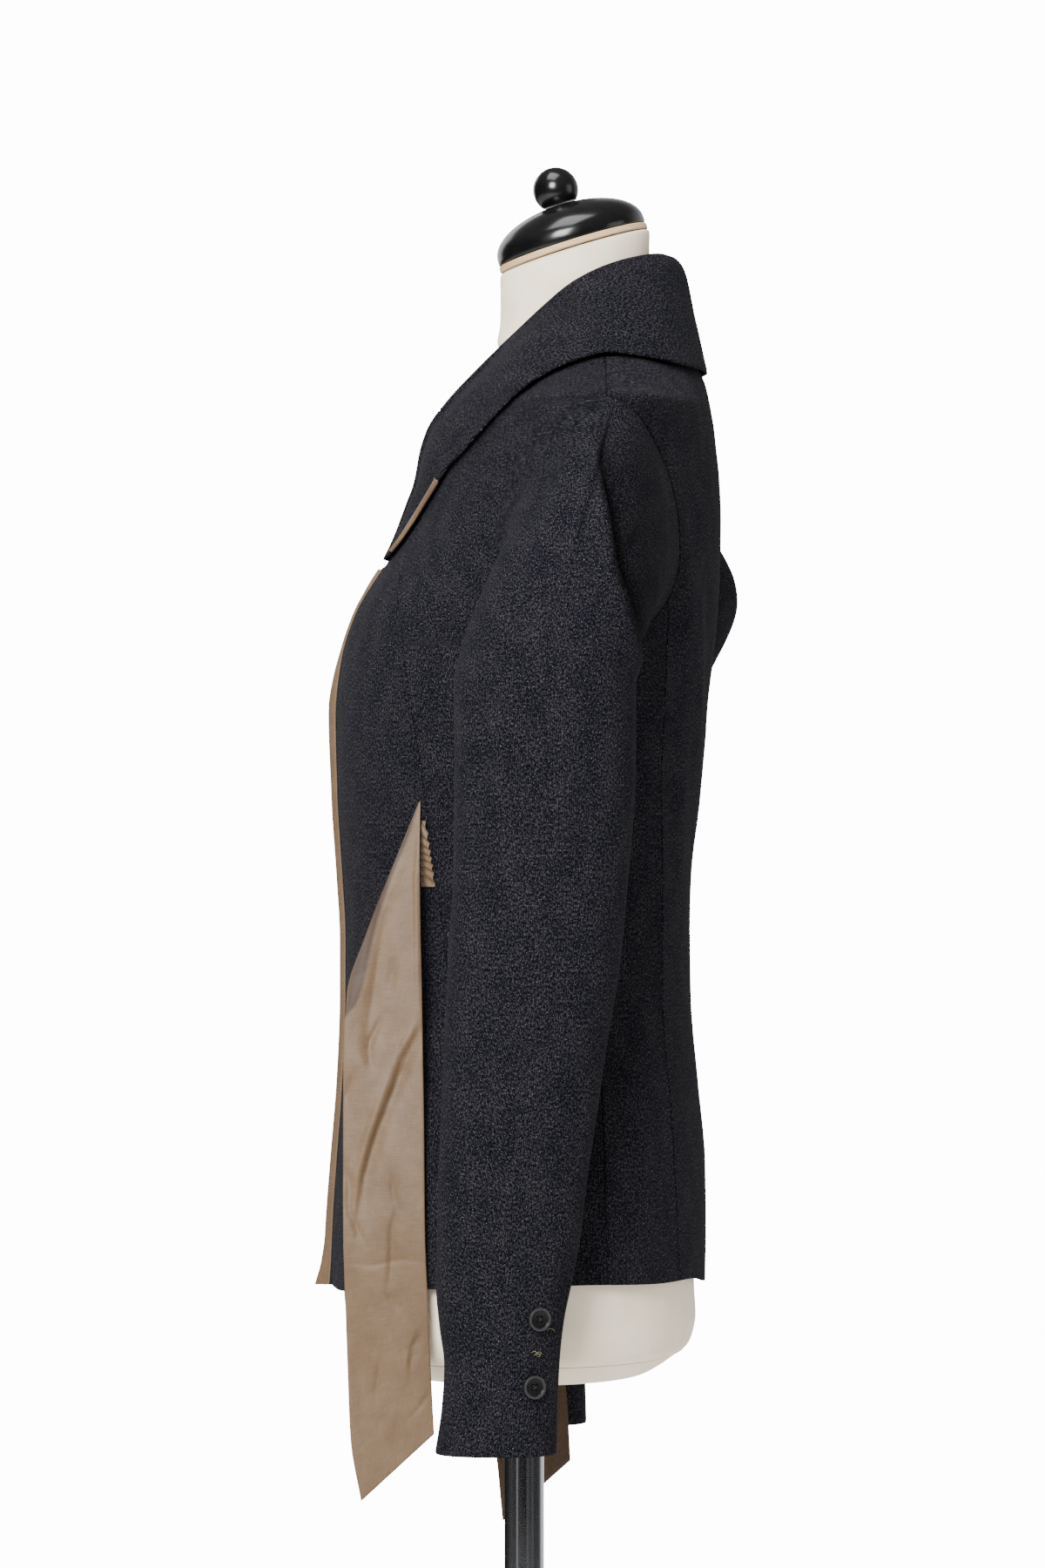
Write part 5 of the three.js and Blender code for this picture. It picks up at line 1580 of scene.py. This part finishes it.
    def joined(self, name: str, pieces: list[bpy.types.Object]) -> bpy.types.Object:
        """Several meshes as one piece, with its faces turned outwards."""
        Hand.select(pieces[0])
        for piece in pieces:
            piece.select_set(True)
        bpy.ops.object.join()
        whole = bpy.context.object
        whole.name = name
        bpy.ops.object.mode_set(mode="EDIT")
        close_up()
        return whole

    def build(self, horn: bpy.types.Material, dark: bpy.types.Material, pale: bpy.types.Material) -> None:
        """Makes the buttons, their threads and the ends that the lost button left."""
        blank = self.blank()
        for side in Side:
            for word, (z, y) in BUTTON_PLACES.items():
                place = self.seat(side, z, y, BUTTON_SEAT)
                button = blank.copy()
                button.data = blank.data.copy()
                button.name = f"button_disc_{word}_{side.label}"
                bpy.context.scene.collection.objects.link(button)
                button.data.transform(place)
                if side is Side.RIGHT:
                    button.data.flip_normals()
                Hand.finish(button, horn, "button_horn")
                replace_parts(button, f"button_{word}_{side.label}")
                s = HOLE_SPREAD * self.thread_reach
                crosses = [
                    self.thread([(a * s, b * s, high) for a, b, high in path], place) for path in self.crosses
                ]
                sewn = self.joined(f"button_thread_{word}_{side.label}", crosses)
                Hand.finish(sewn, dark, "button_horn")
        bpy.data.objects.remove(blank)
        lost = self.seat(Side.LEFT, *self.lost_place, self.lost_off)
        ends = [self.thread(path, lost) for path in self.lost_ends]
        tail = self.seat(Side.LEFT, *self.tail_place, self.lost_off)
        ends.append(self.thread(self.tail_end, tail))
        loose = self.joined("lost_button_threads", ends)
        Hand.finish(loose, pale, "satin")


FORM_LOW = Table(
    "z front back half",
    [(783.4, -104, 100, 158), (789, -108, 104.5, 163), (796, -110.5, 106.8, 165.4), (803, -112, 108, 167)],
)
FORM_SQUARE = 2.25
FORM_ROWS = (825, 870, 925, 980, 1040, 1090, 1140, 1180, 1215, 1245, 1276, 1310, 1340, 1360, 1371.6, 1380)
FORM_UPPER = (1390, 1397.5, 1408)
NECK_Y, NECK_RADIUS, NECK_FOOT = 32.0, 47.0, 1431.0
CAP_Y, CAP_Z, CAP_TILT = 30.5, 1478.0, 17.0
CAP_RADIUS, CAP_SKIRT, CAP_TALL = 48.2, 3.5, 26.7
RIM_RADIUS, RIM_THICK = 48.6, 4.0
KNOB_RADIUS, KNOB_CENTRE, KNOB_FOOT = 14.3, 36.5, 27.1
POLE_RADIUS, POLE_BOTTOM, POLE_TOP = 12.5, 10.6, 770.7
# The bottom board's rings: the height, and how far in from the form's edge
BOARD_RINGS = (
    (771, 22), (771.3, 20), (773, 16.5), (777, 10), (780, 6), (782, 3.2), (782.9, 2.4), (783.1, 3.4),
)
# The base's and its socket's radius and height, from the floor up and down inside the socket
BASE_PROFILE = (
    (184.2, 0), (185, 0.8), (185, 6.4), (184.3, 7.7), (182, 8.8), (83, 13), (40, 15.6), (30, 18),
    (25.5, 22), (23.6, 28), (22.6, 36), (22.2, 41.2), (21.4, 42), (12.9, 42), (12.8, 41), (12.8, 10.4),
)


class DressForm:
    """The padded form, its boards, its cap and knob, and the pole and base it stands on."""

    columns = 160

    def __init__(self, torso: Torso) -> None:
        """Takes the body that the form fills."""
        self.torso = torso
        self.angles = np.arange(self.columns) * 360 / self.columns

    def level_ring(self, z: float, inset: float = 0.0) -> Array:
        """A ring of the form below the hem, drawn in by an inset."""
        front, back = FORM_LOW.at("front", z) + inset, FORM_LOW.at("back", z) - inset
        c, s = np.cos(np.radians(self.angles)), np.sin(np.radians(self.angles))
        depth = np.where(s < 0, -front, back)
        n = FORM_SQUARE
        reach = (np.abs(c / (FORM_LOW.at("half", z) - inset)) ** n + np.abs(s / depth) ** n) ** (-1 / n)
        return polar(self.angles, reach, np.zeros(self.columns), np.full(self.columns, float(z)))

    def inner_ring(self, z: float) -> Array:
        """A ring of the form inside the jacket."""
        here = np.full(self.columns, float(z))
        depth = WALL + TORSO.at("ease", here)
        return self.torso.bare(self.angles, here) - self.torso.normal(self.angles, here) * depth[:, None]

    def neck_ring(self, radius: float, height: Callable[[Array], Array]) -> Array:
        """A ring of the neck, its height given by how far back it lies."""
        turn = np.radians(self.angles)
        y = NECK_Y + radius * np.sin(turn)
        return np.stack([radius * np.cos(turn), y, height(y)], axis=-1)

    def rings(self) -> Array:
        """All rings of the padded form, from its bottom edge to the neck's top."""
        low = [self.level_ring(783.4, 1.2), self.level_ring(783.8, 0.3)]
        low += [self.level_ring(z) for z in (785, 787, 789, 792.5, 796, 803)]
        inside = [self.inner_ring(z) for z in FORM_ROWS + FORM_UPPER]
        tilt = math.radians(CAP_TILT)
        under = CAP_Z - (RIM_THICK + 2 * LAID) / math.cos(tilt)

        def level(z: float) -> Callable[[Array], Array]:
            """The same height all round."""
            return lambda y: np.full(np.shape(y), z)

        def sloping(drop: float) -> Callable[[Array], Array]:
            """The height under the tilted cap."""
            return lambda y: under - drop + (y - CAP_Y) * math.tan(tilt)

        neck = [
            self.neck_ring(NECK_RADIUS + 2, level(NECK_FOOT - 14)),
            self.neck_ring(NECK_RADIUS + 0.5, level(NECK_FOOT - 5)),
            self.neck_ring(NECK_RADIUS, level(NECK_FOOT + 6)),
            self.neck_ring(NECK_RADIUS, sloping(12)),
            self.neck_ring(NECK_RADIUS, sloping(1.2)),
            self.neck_ring(NECK_RADIUS - 0.8, sloping(0)),
        ]
        knots = np.stack(low + inside + neck, axis=1)
        dense = np.linspace(0, 1, 6 * (knots.shape[1] - 1) + 1)
        return Lapels.spline(knots, dense).transpose(1, 0, 2)

    @staticmethod
    def loft(name: str, rings: Array) -> bpy.types.Object:
        """A closed solid through rings of points, from the bottom up."""
        rows, columns = rings.shape[:2]
        index = np.arange(rows * columns).reshape(rows, columns)
        following = np.roll(index, -1, axis=1)
        faces = np.stack([index[:-1], following[:-1], following[1:], index[1:]], axis=-1).reshape(-1, 4)
        maps = flat_map(rings, closed=True)
        flats = np.stack([maps[:-1, :-1], maps[:-1, 1:], maps[1:, 1:], maps[1:, :-1]], axis=2).reshape(-1, 2)
        piece = Hand.mesh(name, rings.reshape(-1, 3), faces, flats)
        Hand.select(piece)
        bpy.ops.object.mode_set(mode="EDIT")
        bpy.ops.mesh.select_mode(type="EDGE")
        bpy.ops.mesh.select_all(action="DESELECT")
        bpy.ops.mesh.select_non_manifold()
        bpy.ops.mesh.edge_face_add()
        close_up()
        bpy.ops.object.shade_smooth_by_angle(angle=0.8)
        return piece

    @staticmethod
    def turned(name: str, profile: Sequence[tuple[float, float]], segments: int) -> bpy.types.Object:
        """A turned piece, pulled up ring by ring from a disc.

        Args:
            name: The piece's name.
            profile: Radius and height of each ring, from the bottom up.
            segments: How many sides a ring has.

        Returns:
            The piece, standing on the Z axis.
        """
        first, height = profile[0]
        bpy.ops.object.select_all(action="DESELECT")
        bpy.ops.mesh.primitive_circle_add(
            vertices=segments, radius=first * MM, fill_type="NGON", location=(0, 0, height * MM)
        )
        piece = bpy.context.object
        piece.name = name
        bpy.ops.object.transform_apply(location=True, rotation=True, scale=True)
        bpy.ops.object.mode_set(mode="EDIT")
        bpy.ops.mesh.select_all(action="SELECT")
        for radius, level in profile[1:]:
            bpy.ops.mesh.extrude_region_move(TRANSFORM_OT_translate={"value": (0, 0, (level - height) * MM)})
            share = radius / first
            bpy.ops.transform.resize(value=(share, share, 1), center_override=(0, 0, level * MM))
            first, height = radius, level
        close_up()
        bpy.ops.object.shade_smooth_by_angle(angle=0.6)
        return piece

    @staticmethod
    def on_neck(piece: bpy.types.Object) -> None:
        """Tilts a turned piece onto the neck's axis."""
        tilt = Matrix.Rotation(math.radians(CAP_TILT), 4, "X")
        piece.data.transform(Matrix.Translation((0, CAP_Y * MM, CAP_Z * MM)) @ tilt)

    def top_pieces(self, wood: bpy.types.Material, lacquer: bpy.types.Material) -> None:
        """The rim board, the cap and its knob."""
        r, t = RIM_RADIUS, RIM_THICK
        rim = self.turned("rim_board", ((r - 0.7, -t), (r, 0.7 - t), (r, -0.7), (r - 0.7, 0)), 120)
        self.on_neck(rim)
        Hand.finish(rim, wood, "rim_wood")
        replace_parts(rim, "neck_rim_board")
        turns = np.radians(np.linspace(0, 88, 20))
        rise = CAP_TALL - CAP_SKIRT
        dome = [(CAP_RADIUS * math.cos(a), CAP_SKIRT + rise * math.sin(a) ** 0.94) for a in turns]
        skirt = [(CAP_RADIUS - 0.9, 0.3), (CAP_RADIUS - 0.2, 0.9), (CAP_RADIUS, 1.8)]
        profile = [*skirt, *dome, (0.6, CAP_TALL)]
        cap = self.turned("cap", profile, 128)
        self.on_neck(cap)
        Hand.finish(cap, lacquer, "black_lacquer")
        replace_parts(cap, "neck_cap")
        low = math.degrees(math.asin((KNOB_FOOT - KNOB_CENTRE) / KNOB_RADIUS))
        turns = np.radians(np.linspace(low, 89, 30))
        ball = [(KNOB_RADIUS * math.cos(a), KNOB_CENTRE + KNOB_RADIUS * math.sin(a)) for a in turns]
        knob = self.turned("knob", ball, 72)
        self.on_neck(knob)
        Hand.finish(knob, lacquer, "black_lacquer")
        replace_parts(knob, "neck_knob")

    def stand(self, chrome: bpy.types.Material) -> None:
        """The pole and its round base."""
        r = POLE_RADIUS
        pole = self.turned("pole", ((r - 0.6, POLE_BOTTOM), (r, POLE_BOTTOM + 0.6), (r, POLE_TOP)), 96)
        Hand.finish(pole, chrome, "chrome")
        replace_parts(pole, "stand_pole")
        base = self.turned("base", BASE_PROFILE, 144)
        Hand.finish(base, chrome, "chrome")
        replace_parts(base, "stand_base")

    def build(
        self,
        cover: bpy.types.Material,
        wood: bpy.types.Material,
        lacquer: bpy.types.Material,
        chrome: bpy.types.Material,
    ) -> None:
        """Makes the form and its stand."""
        form = self.loft("form_cover", self.rings())
        Hand.finish(form, cover, "form_cover")
        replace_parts(form, "form_torso")
        edge = FORM_LOW.data["z"][0]
        rings = [self.level_ring(edge, inset) + (0, 0, z - edge) for z, inset in BOARD_RINGS]
        board = self.loft("bottom_board_cover", np.stack(rings))
        Hand.finish(board, cover, "form_cover")
        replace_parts(board, "form_bottom_board")
        self.top_pieces(wood, lacquer)
        self.stand(chrome)


class NodeSheet:
    """A sheet of shader nodes, built up node by node."""

    def __init__(self, tree: bpy.types.NodeTree) -> None:
        """Takes the sheet that the nodes go on."""
        self.tree = tree

    def add(self, kind: str, values: dict | None = None, **settings: object) -> bpy.types.Node:
        """Adds a node.

        Args:
            kind: The node's type.
            values: Values or sockets for its inputs, by name or number.
            settings: Its other properties.

        Returns:
            The node.
        """
        node = self.tree.nodes.new(kind)
        for name, value in settings.items():
            setattr(node, name, value)
        for name, value in (values or {}).items():
            self.feed(node.inputs[name], value)
        return node

    def feed(self, socket: bpy.types.NodeSocket, value: object) -> None:
        """Links a socket to another, or sets its value."""
        if isinstance(value, bpy.types.NodeSocket):
            self.tree.links.new(value, socket)
        else:
            socket.default_value = value

    def maths(self, operation: str, *values: object) -> bpy.types.NodeSocket:
        """The result of a sum on numbers or sockets."""
        node = self.add("ShaderNodeMath", dict(enumerate(values)), operation=operation)
        return node.outputs[0]

    def total(self, *parts: tuple[object, float]) -> bpy.types.NodeSocket:
        """The sum of some sockets, each times its weight."""
        result, *rest = [self.maths("MULTIPLY", value, weight) for value, weight in parts]
        for part in rest:
            result = self.maths("ADD", result, part)
        return result

    def ramp(self, factor: object, *stops: tuple[float, Sequence[float]]) -> bpy.types.NodeSocket:
        """A colour for each value of a factor, between some stops."""
        node = self.add("ShaderNodeValToRGB", {0: factor})
        band = node.color_ramp
        while len(band.elements) < len(stops):
            band.elements.new(0.5)
        for element, (place, colour) in zip(band.elements, stops):
            element.position = place
            element.color = (*colour, 1)
        return node.outputs[0]

    def mix(self, factor: object, a: object, b: object, blend: str = "MIX") -> bpy.types.NodeSocket:
        """Two colours mixed."""
        node = self.add("ShaderNodeMix", {0: factor, 6: a, 7: b}, data_type="RGBA", blend_type=blend)
        return node.outputs[2]


class Paint(NodeSheet):
    """A material's nodes."""

    def __init__(self, name: str, surface: dict[str, object]) -> None:
        """Starts a material.

        Args:
            name: The material's name.
            surface: Constants for the surface's sockets, by their names.
        """
        self.material = bpy.data.materials.new(name)
        self.material.use_nodes = True
        super().__init__(self.material.node_tree)
        self.surface = self.tree.nodes["Principled BSDF"]
        for socket, value in surface.items():
            self.surface.inputs[socket].default_value = value

    def cloth_place(self) -> tuple[bpy.types.NodeSocket, bpy.types.NodeSocket, bpy.types.NodeSocket]:
        """The cloth's flat coordinates in millimetres: both together, across, and along."""
        flat = self.add("ShaderNodeUVMap", uv_map="cloth").outputs["UV"]
        scale = {0: flat, 1: (1 / MM, 1 / MM, 0)}
        size = self.add("ShaderNodeVectorMath", scale, operation="MULTIPLY").outputs[0]
        parts = self.add("ShaderNodeSeparateXYZ", {0: size}).outputs
        return size, parts[0], parts[1]

    def stretched(
        self, place: object, across: float, along: float, detail: float = 3.0
    ) -> bpy.types.NodeSocket:
        """Noise over the flat cloth, its grain so many to a millimetre across and along."""
        scaled = self.add("ShaderNodeVectorMath", {0: place, 1: (across, along, 1)}, operation="MULTIPLY")
        noise = self.add("ShaderNodeTexNoise", {"Vector": scaled.outputs[0], "Scale": 1.0, "Detail": detail})
        return noise.outputs["Fac"]

    def relief(self, height: object, deep: float, strength: float = 1.0) -> None:
        """Bumps the surface by a height times a depth in millimetres."""
        values = {"Strength": strength, "Distance": deep * MM, "Height": height}
        self.feed(self.surface.inputs["Normal"], self.add("ShaderNodeBump", values).outputs[0])

    def coloured(self, colour: object) -> None:
        """Sets the surface's colour."""
        self.feed(self.surface.inputs["Base Color"], colour)


@dataclass(frozen=True)
class KnitFinish:
    """A charcoal heather wool knit with fine upright wales."""

    wale: float = 1.15
    stitch: float = 0.9
    dark: tuple[float, float, float] = (0.0005, 0.0005, 0.0009)
    mid: tuple[float, float, float] = (0.0033, 0.0032, 0.0046)
    light: tuple[float, float, float] = (0.030, 0.0292, 0.036)
    fleck: tuple[float, float, float] = (0.15, 0.15, 0.165)
    shade: tuple[float, float, float] = (0.16, 0.16, 0.17)

    def material(self) -> bpy.types.Material:
        """Paints the knit."""
        surface = {"Roughness": 0.92, "Specular IOR Level": 0.06, "Sheen Weight": 0.012}
        surface |= {"Sheen Roughness": 0.5, "Sheen Tint": (0.62, 0.64, 0.72, 1)}
        paint = Paint("wool_knit", surface)
        place, across, along = paint.cloth_place()
        wander = paint.maths("SUBTRACT", paint.stretched(place, 0.05, 0.02), 0.5)
        wander = paint.maths("MULTIPLY", wander, 3.2)
        column = paint.maths("DIVIDE", paint.maths("ADD", across, wander), self.wale)
        ridge = paint.maths("SINE", paint.maths("MULTIPLY", column, 2 * math.pi))
        chevron = paint.maths("ABSOLUTE", paint.maths("SINE", paint.maths("MULTIPLY", column, math.pi)))
        row = paint.maths("DIVIDE", along, self.stitch)
        row = paint.maths("ADD", row, paint.maths("MULTIPLY", chevron, 0.45))
        loop = paint.maths("SINE", paint.maths("MULTIPLY", row, 2 * math.pi))
        fuzz = paint.stretched(place, 1.9, 1.3, 3)
        fibres = paint.stretched(place, 3.1, 1.0, 2)
        heather = paint.stretched(place, 0.85, 0.60, 5)
        cloud = paint.stretched(place, 0.06, 0.035, 3)
        patch = paint.maths("SUBTRACT", cloud, 0.5)
        blend = paint.total((heather, 0.62), (fibres, 0.38), (patch, 0.10), (ridge, 0.028))
        colour = paint.ramp(blend, (0.40, self.dark), (0.5, self.mid), (0.615, self.light))
        specks = paint.stretched(place, 1.7, 1.1, 2)
        span = {"Value": specks, "From Min": 0.64, "From Max": 0.74}
        bright = paint.add("ShaderNodeMapRange", span).outputs[0]
        colour = paint.mix(bright, colour, (*self.fleck, 1))
        tint = paint.ramp(cloud, (0.35, (0.93, 0.95, 1.07)), (0.65, (1.05, 0.99, 0.97)))
        colour = paint.mix(0.7, colour, tint, "MULTIPLY")
        shaded = paint.add("ShaderNodeAttribute", attribute_name="shade").outputs["Fac"]
        paint.coloured(paint.mix(shaded, colour, paint.mix(1.0, colour, (*self.shade, 1), "MULTIPLY")))
        paint.relief(paint.total((ridge, 0.30), (loop, 0.14), (fuzz, 1.5)), 0.18, 0.8)
        return paint.material


@dataclass(frozen=True)
class SatinFinish:
    """A bronze taupe satin with a fine slub, darkened on marked points for its duller wrong side and as
    painted shade.
    """

    deep: tuple[float, float, float] = (0.098, 0.059, 0.031)
    pale: tuple[float, float, float] = (0.148, 0.094, 0.053)
    # multiplies marked points: the duller wrong side and painted shade together
    wrong_side_and_shade: tuple[float, float, float] = (0.32, 0.25, 0.18)

    def material(self) -> bpy.types.Material:
        """Paints the satin."""
        surface = {"Roughness": 0.52, "Specular IOR Level": 0.30, "Anisotropic": 0.3}
        surface |= {"Sheen Weight": 0.03, "Sheen Roughness": 0.35, "Sheen Tint": (1, 0.86, 0.7, 1)}
        paint = Paint("satin", surface)
        place = paint.cloth_place()[0]
        slub = paint.stretched(place, 0.10, 1.6, 3)
        warp = paint.stretched(place, 1.8, 0.10, 3)
        cloud = paint.stretched(place, 0.05, 0.04, 3)
        blend = paint.total((slub, 0.35), (warp, 0.25), (cloud, 0.4))
        right = paint.ramp(blend, (0.36, self.deep), (0.64, self.pale))
        # Painted shade, together with the wrong side's own dullness: marked points take the darker colour.
        turned = paint.add("ShaderNodeAttribute", attribute_name="wrong_side_and_shade").outputs["Fac"]
        paint.coloured(paint.mix(turned, right, paint.mix(1.0, right, (*self.wrong_side_and_shade, 1), "MULTIPLY")))
        crinkle = paint.stretched(place, 0.11, 0.08, 3)
        paint.relief(paint.total((slub, 0.5), (warp, 0.5), (crinkle, 5.0)), 0.12, 0.7)
        return paint.material


@dataclass(frozen=True)
class CoverFinish:
    """The form's cream cotton jersey."""

    colour: tuple[float, float, float] = (0.95, 0.83, 0.65)
    shade: tuple[float, float, float] = (0.88, 0.74, 0.54)

    def material(self) -> bpy.types.Material:
        """Paints the jersey."""
        surface = {"Roughness": 0.9, "Specular IOR Level": 0.25, "Sheen Weight": 0.1}
        paint = Paint("form_cover", surface)
        place, across, _ = paint.cloth_place()
        cloud = paint.stretched(place, 0.02, 0.02, 3)
        paint.coloured(paint.ramp(cloud, (0.35, self.shade), (0.6, self.colour)))
        rib = paint.maths("SINE", paint.maths("MULTIPLY", across, 2 * math.pi / 0.8))
        fuzz = paint.stretched(place, 1.4, 1.0, 3)
        paint.relief(paint.maths("ADD", paint.maths("MULTIPLY", rib, 0.25), fuzz), 0.12, 0.6)
        return paint.material


@dataclass(frozen=True)
class HardFinish:
    """A hard, nearly even surface with light wear, and a painted highlight on the points marked for it."""

    name: str
    colour: tuple[float, float, float]
    worn: tuple[float, float, float]
    roughness: float
    metallic: float = 0.0
    coat: float = 0.0
    specular: float = 0.5
    grain: tuple[float, float, float] = (60, 60, 60)
    relief: float = 0.02
    # the painted highlight's colour, on the marked points of a button's rim
    painted_rim_highlight: tuple[float, float, float] = (0.026, 0.026, 0.027)

    def material(self) -> bpy.types.Material:
        """Paints the surface."""
        surface = {"Metallic": self.metallic, "Coat Weight": self.coat, "Specular IOR Level": self.specular}
        paint = Paint(self.name, surface)
        place = paint.add("ShaderNodeTexCoord").outputs["Object"]
        scaled = paint.add("ShaderNodeVectorMath", {0: place, 1: self.grain}, operation="MULTIPLY")
        grain = {"Vector": scaled.outputs[0], "Scale": 1.0, "Detail": 4.0}
        noise = paint.add("ShaderNodeTexNoise", grain).outputs["Fac"]
        # Painted highlight: marked points take the lighter rim colour.
        painted_rim_highlight = paint.add("ShaderNodeAttribute", attribute_name="painted_rim_highlight").outputs["Fac"]
        colour = paint.ramp(noise, (0.35, self.colour), (0.7, self.worn))
        paint.coloured(paint.mix(painted_rim_highlight, colour, (*self.painted_rim_highlight, 1)))
        span = {"Value": noise, "To Min": self.roughness * 0.85, "To Max": self.roughness * 1.25}
        paint.feed(paint.surface.inputs["Roughness"], paint.add("ShaderNodeMapRange", span).outputs[0])
        paint.relief(noise, self.relief, 0.4)
        return paint.material


LACQUER = HardFinish("black_lacquer", (0.0025, 0.0025, 0.003), (0.005, 0.005, 0.005), 0.2, specular=0.45)
WOOD = HardFinish("rim_wood", (0.52, 0.35, 0.19), (0.66, 0.47, 0.28), 0.55, grain=(30, 30, 900), relief=0.1)
CHROME = HardFinish("chrome", (0.78, 0.79, 0.8), (0.72, 0.73, 0.74), 0.07, metallic=1.0)
HORN = HardFinish("button_horn", (0.004, 0.004, 0.0045), (0.006, 0.006, 0.0065), 0.3, specular=0.2)
DARK_THREAD = HardFinish("dark_thread", (0.015, 0.015, 0.017), (0.03, 0.03, 0.03), 0.7, relief=0.05)
PALE_THREAD = HardFinish(
    "pale_thread", (0.17, 0.155, 0.085), (0.25, 0.23, 0.13), 0.8, specular=0.1, relief=0.05
)
FLOOR = HardFinish("studio_floor", (0.82, 0.82, 0.82), (0.85, 0.85, 0.85), 0.8, grain=(3, 3, 3))


class Studio:
    """The pale floor, the soft light and the camera."""

    camera_place = (4.0, -0.0011, 1.1379)
    lens = 145.45
    floor_radius = 4.5
    ambient, backdrop = 0.6, 14.0
    # The studio's brightness all round: the turn in degrees and the grey there
    flags = (
        (-180, 0.25), (-160, 0.02), (-120, 0.03), (-80, 0.09), (-60, 0.05), (-50, 0.04), (-44, 0.34),
        (-40, 0.34), (-34, 0.05), (-12, 0.02), (10, 0.012), (16, 0.1), (22, 0.1), (36, 0.05), (52, 0.13),
        (60, 0.05), (84, 0.07), (100, 0.12), (112, 0.6), (126, 1.3), (180, 1.6),
    )
    flag_blue, ceiling, steep = 1.04, (0.30, 0.30, 0.31, 1), (0.25, 0.6)

    def softbox(self, name: str, place: tuple[float, float, float], size: float, power: float) -> None:
        """A square soft light that faces the jacket."""
        data = bpy.data.lights.new(name, "AREA")
        data.size = size
        data.energy = power
        light = bpy.data.objects.new(name, data)
        light.location = place
        aim = Matrix.Translation((0, 0, 1.1)).translation - light.location
        light.rotation_euler = aim.to_track_quat("-Z", "Y").to_euler()
        bpy.context.scene.collection.objects.link(light)

    def sky(self) -> None:
        """The white studio round the jacket, with dark flags that only polished metal picks up."""
        world = bpy.data.worlds.new("studio")
        world.use_nodes = True
        bpy.context.scene.world = world
        sheet = NodeSheet(world.node_tree)
        path = sheet.add("ShaderNodeLightPath").outputs
        span = {"Value": path["Is Camera Ray"], "To Min": self.ambient, "To Max": self.backdrop}
        strength = sheet.add("ShaderNodeMapRange", span).outputs[0]
        place = sheet.add("ShaderNodeTexCoord").outputs["Generated"]
        parts = sheet.add("ShaderNodeSeparateXYZ", {0: place}).outputs
        turn = sheet.maths("ARCTAN2", parts[1], parts[0])
        span = {"Value": turn, "From Min": -math.pi, "From Max": math.pi}
        share = sheet.add("ShaderNodeMapRange", span).outputs[0]
        stops = [(turned / 360 + 0.5, (grey, grey, grey * self.flag_blue)) for turned, grey in self.flags]
        span = {"Value": parts[2], "From Min": self.steep[0], "From Max": self.steep[1]}
        above = sheet.add("ShaderNodeMapRange", span).outputs[0]
        around = sheet.mix(above, sheet.ramp(share, *stops), self.ceiling)
        ground = sheet.tree.nodes["Background"]
        sheet.feed(ground.inputs["Strength"], strength)
        sheet.feed(ground.inputs["Color"], sheet.mix(path["Is Glossy Ray"], (1, 1, 1, 1), around))

    def camera(self) -> None:
        """The camera at the height of the waist, square to the wearer's left side."""
        data = bpy.data.cameras.new("camera")
        data.lens = self.lens
        data.sensor_width = 36
        data.clip_end = 50
        camera = bpy.data.objects.new("camera", data)
        camera.location = self.camera_place
        camera.rotation_euler = (math.pi / 2, 0, math.pi / 2)
        bpy.context.scene.collection.objects.link(camera)
        bpy.context.scene.camera = camera

    def build(self) -> None:
        """Sets up the studio."""
        floor = DressForm.turned("floor", ((self.floor_radius / MM, -3), (self.floor_radius / MM, -0.4)), 96)
        floor.data.materials.append(FLOOR.material())
        self.softbox("key", (3.45, -1.15, 2.8), 1.5, 318)
        self.softbox("top", (0.6, -0.4, 3.4), 1.4, 50)
        self.softbox("back", (0.8, 3.0, 1.8), 1.6, 14)
        self.softbox("far", (-2.6, -1.2, 2.0), 1.8, 18)
        self.sky()
        self.camera()


def main() -> None:
    """Builds the blazer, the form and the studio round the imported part."""
    logging.basicConfig(level=logging.INFO, format="%(message)s")
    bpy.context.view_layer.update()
    wool, satin = KnitFinish().material(), SatinFinish().material()
    bodice = Bodice()
    satin_work = SatinWork(bodice)
    bodice.build(wool, satin_work.tabs(satin) + satin_work.strips(satin))
    sleeves = {hang.side: SleeveWork(hang, bodice.torso) for hang in (LEFT_HANG, RIGHT_HANG)}
    for sleeve in sleeves.values():
        sleeve.build(wool)
    Lapels(bodice.torso).build(wool, satin)
    satin_work.build(satin)
    CuffButtons(sleeves).build(HORN.material(), DARK_THREAD.material(), PALE_THREAD.material())
    form = DressForm(bodice.torso)
    form.build(CoverFinish().material(), WOOD.material(), LACQUER.material(), CHROME.material())
    Studio().build()


if __name__ == "__main__":
    main()
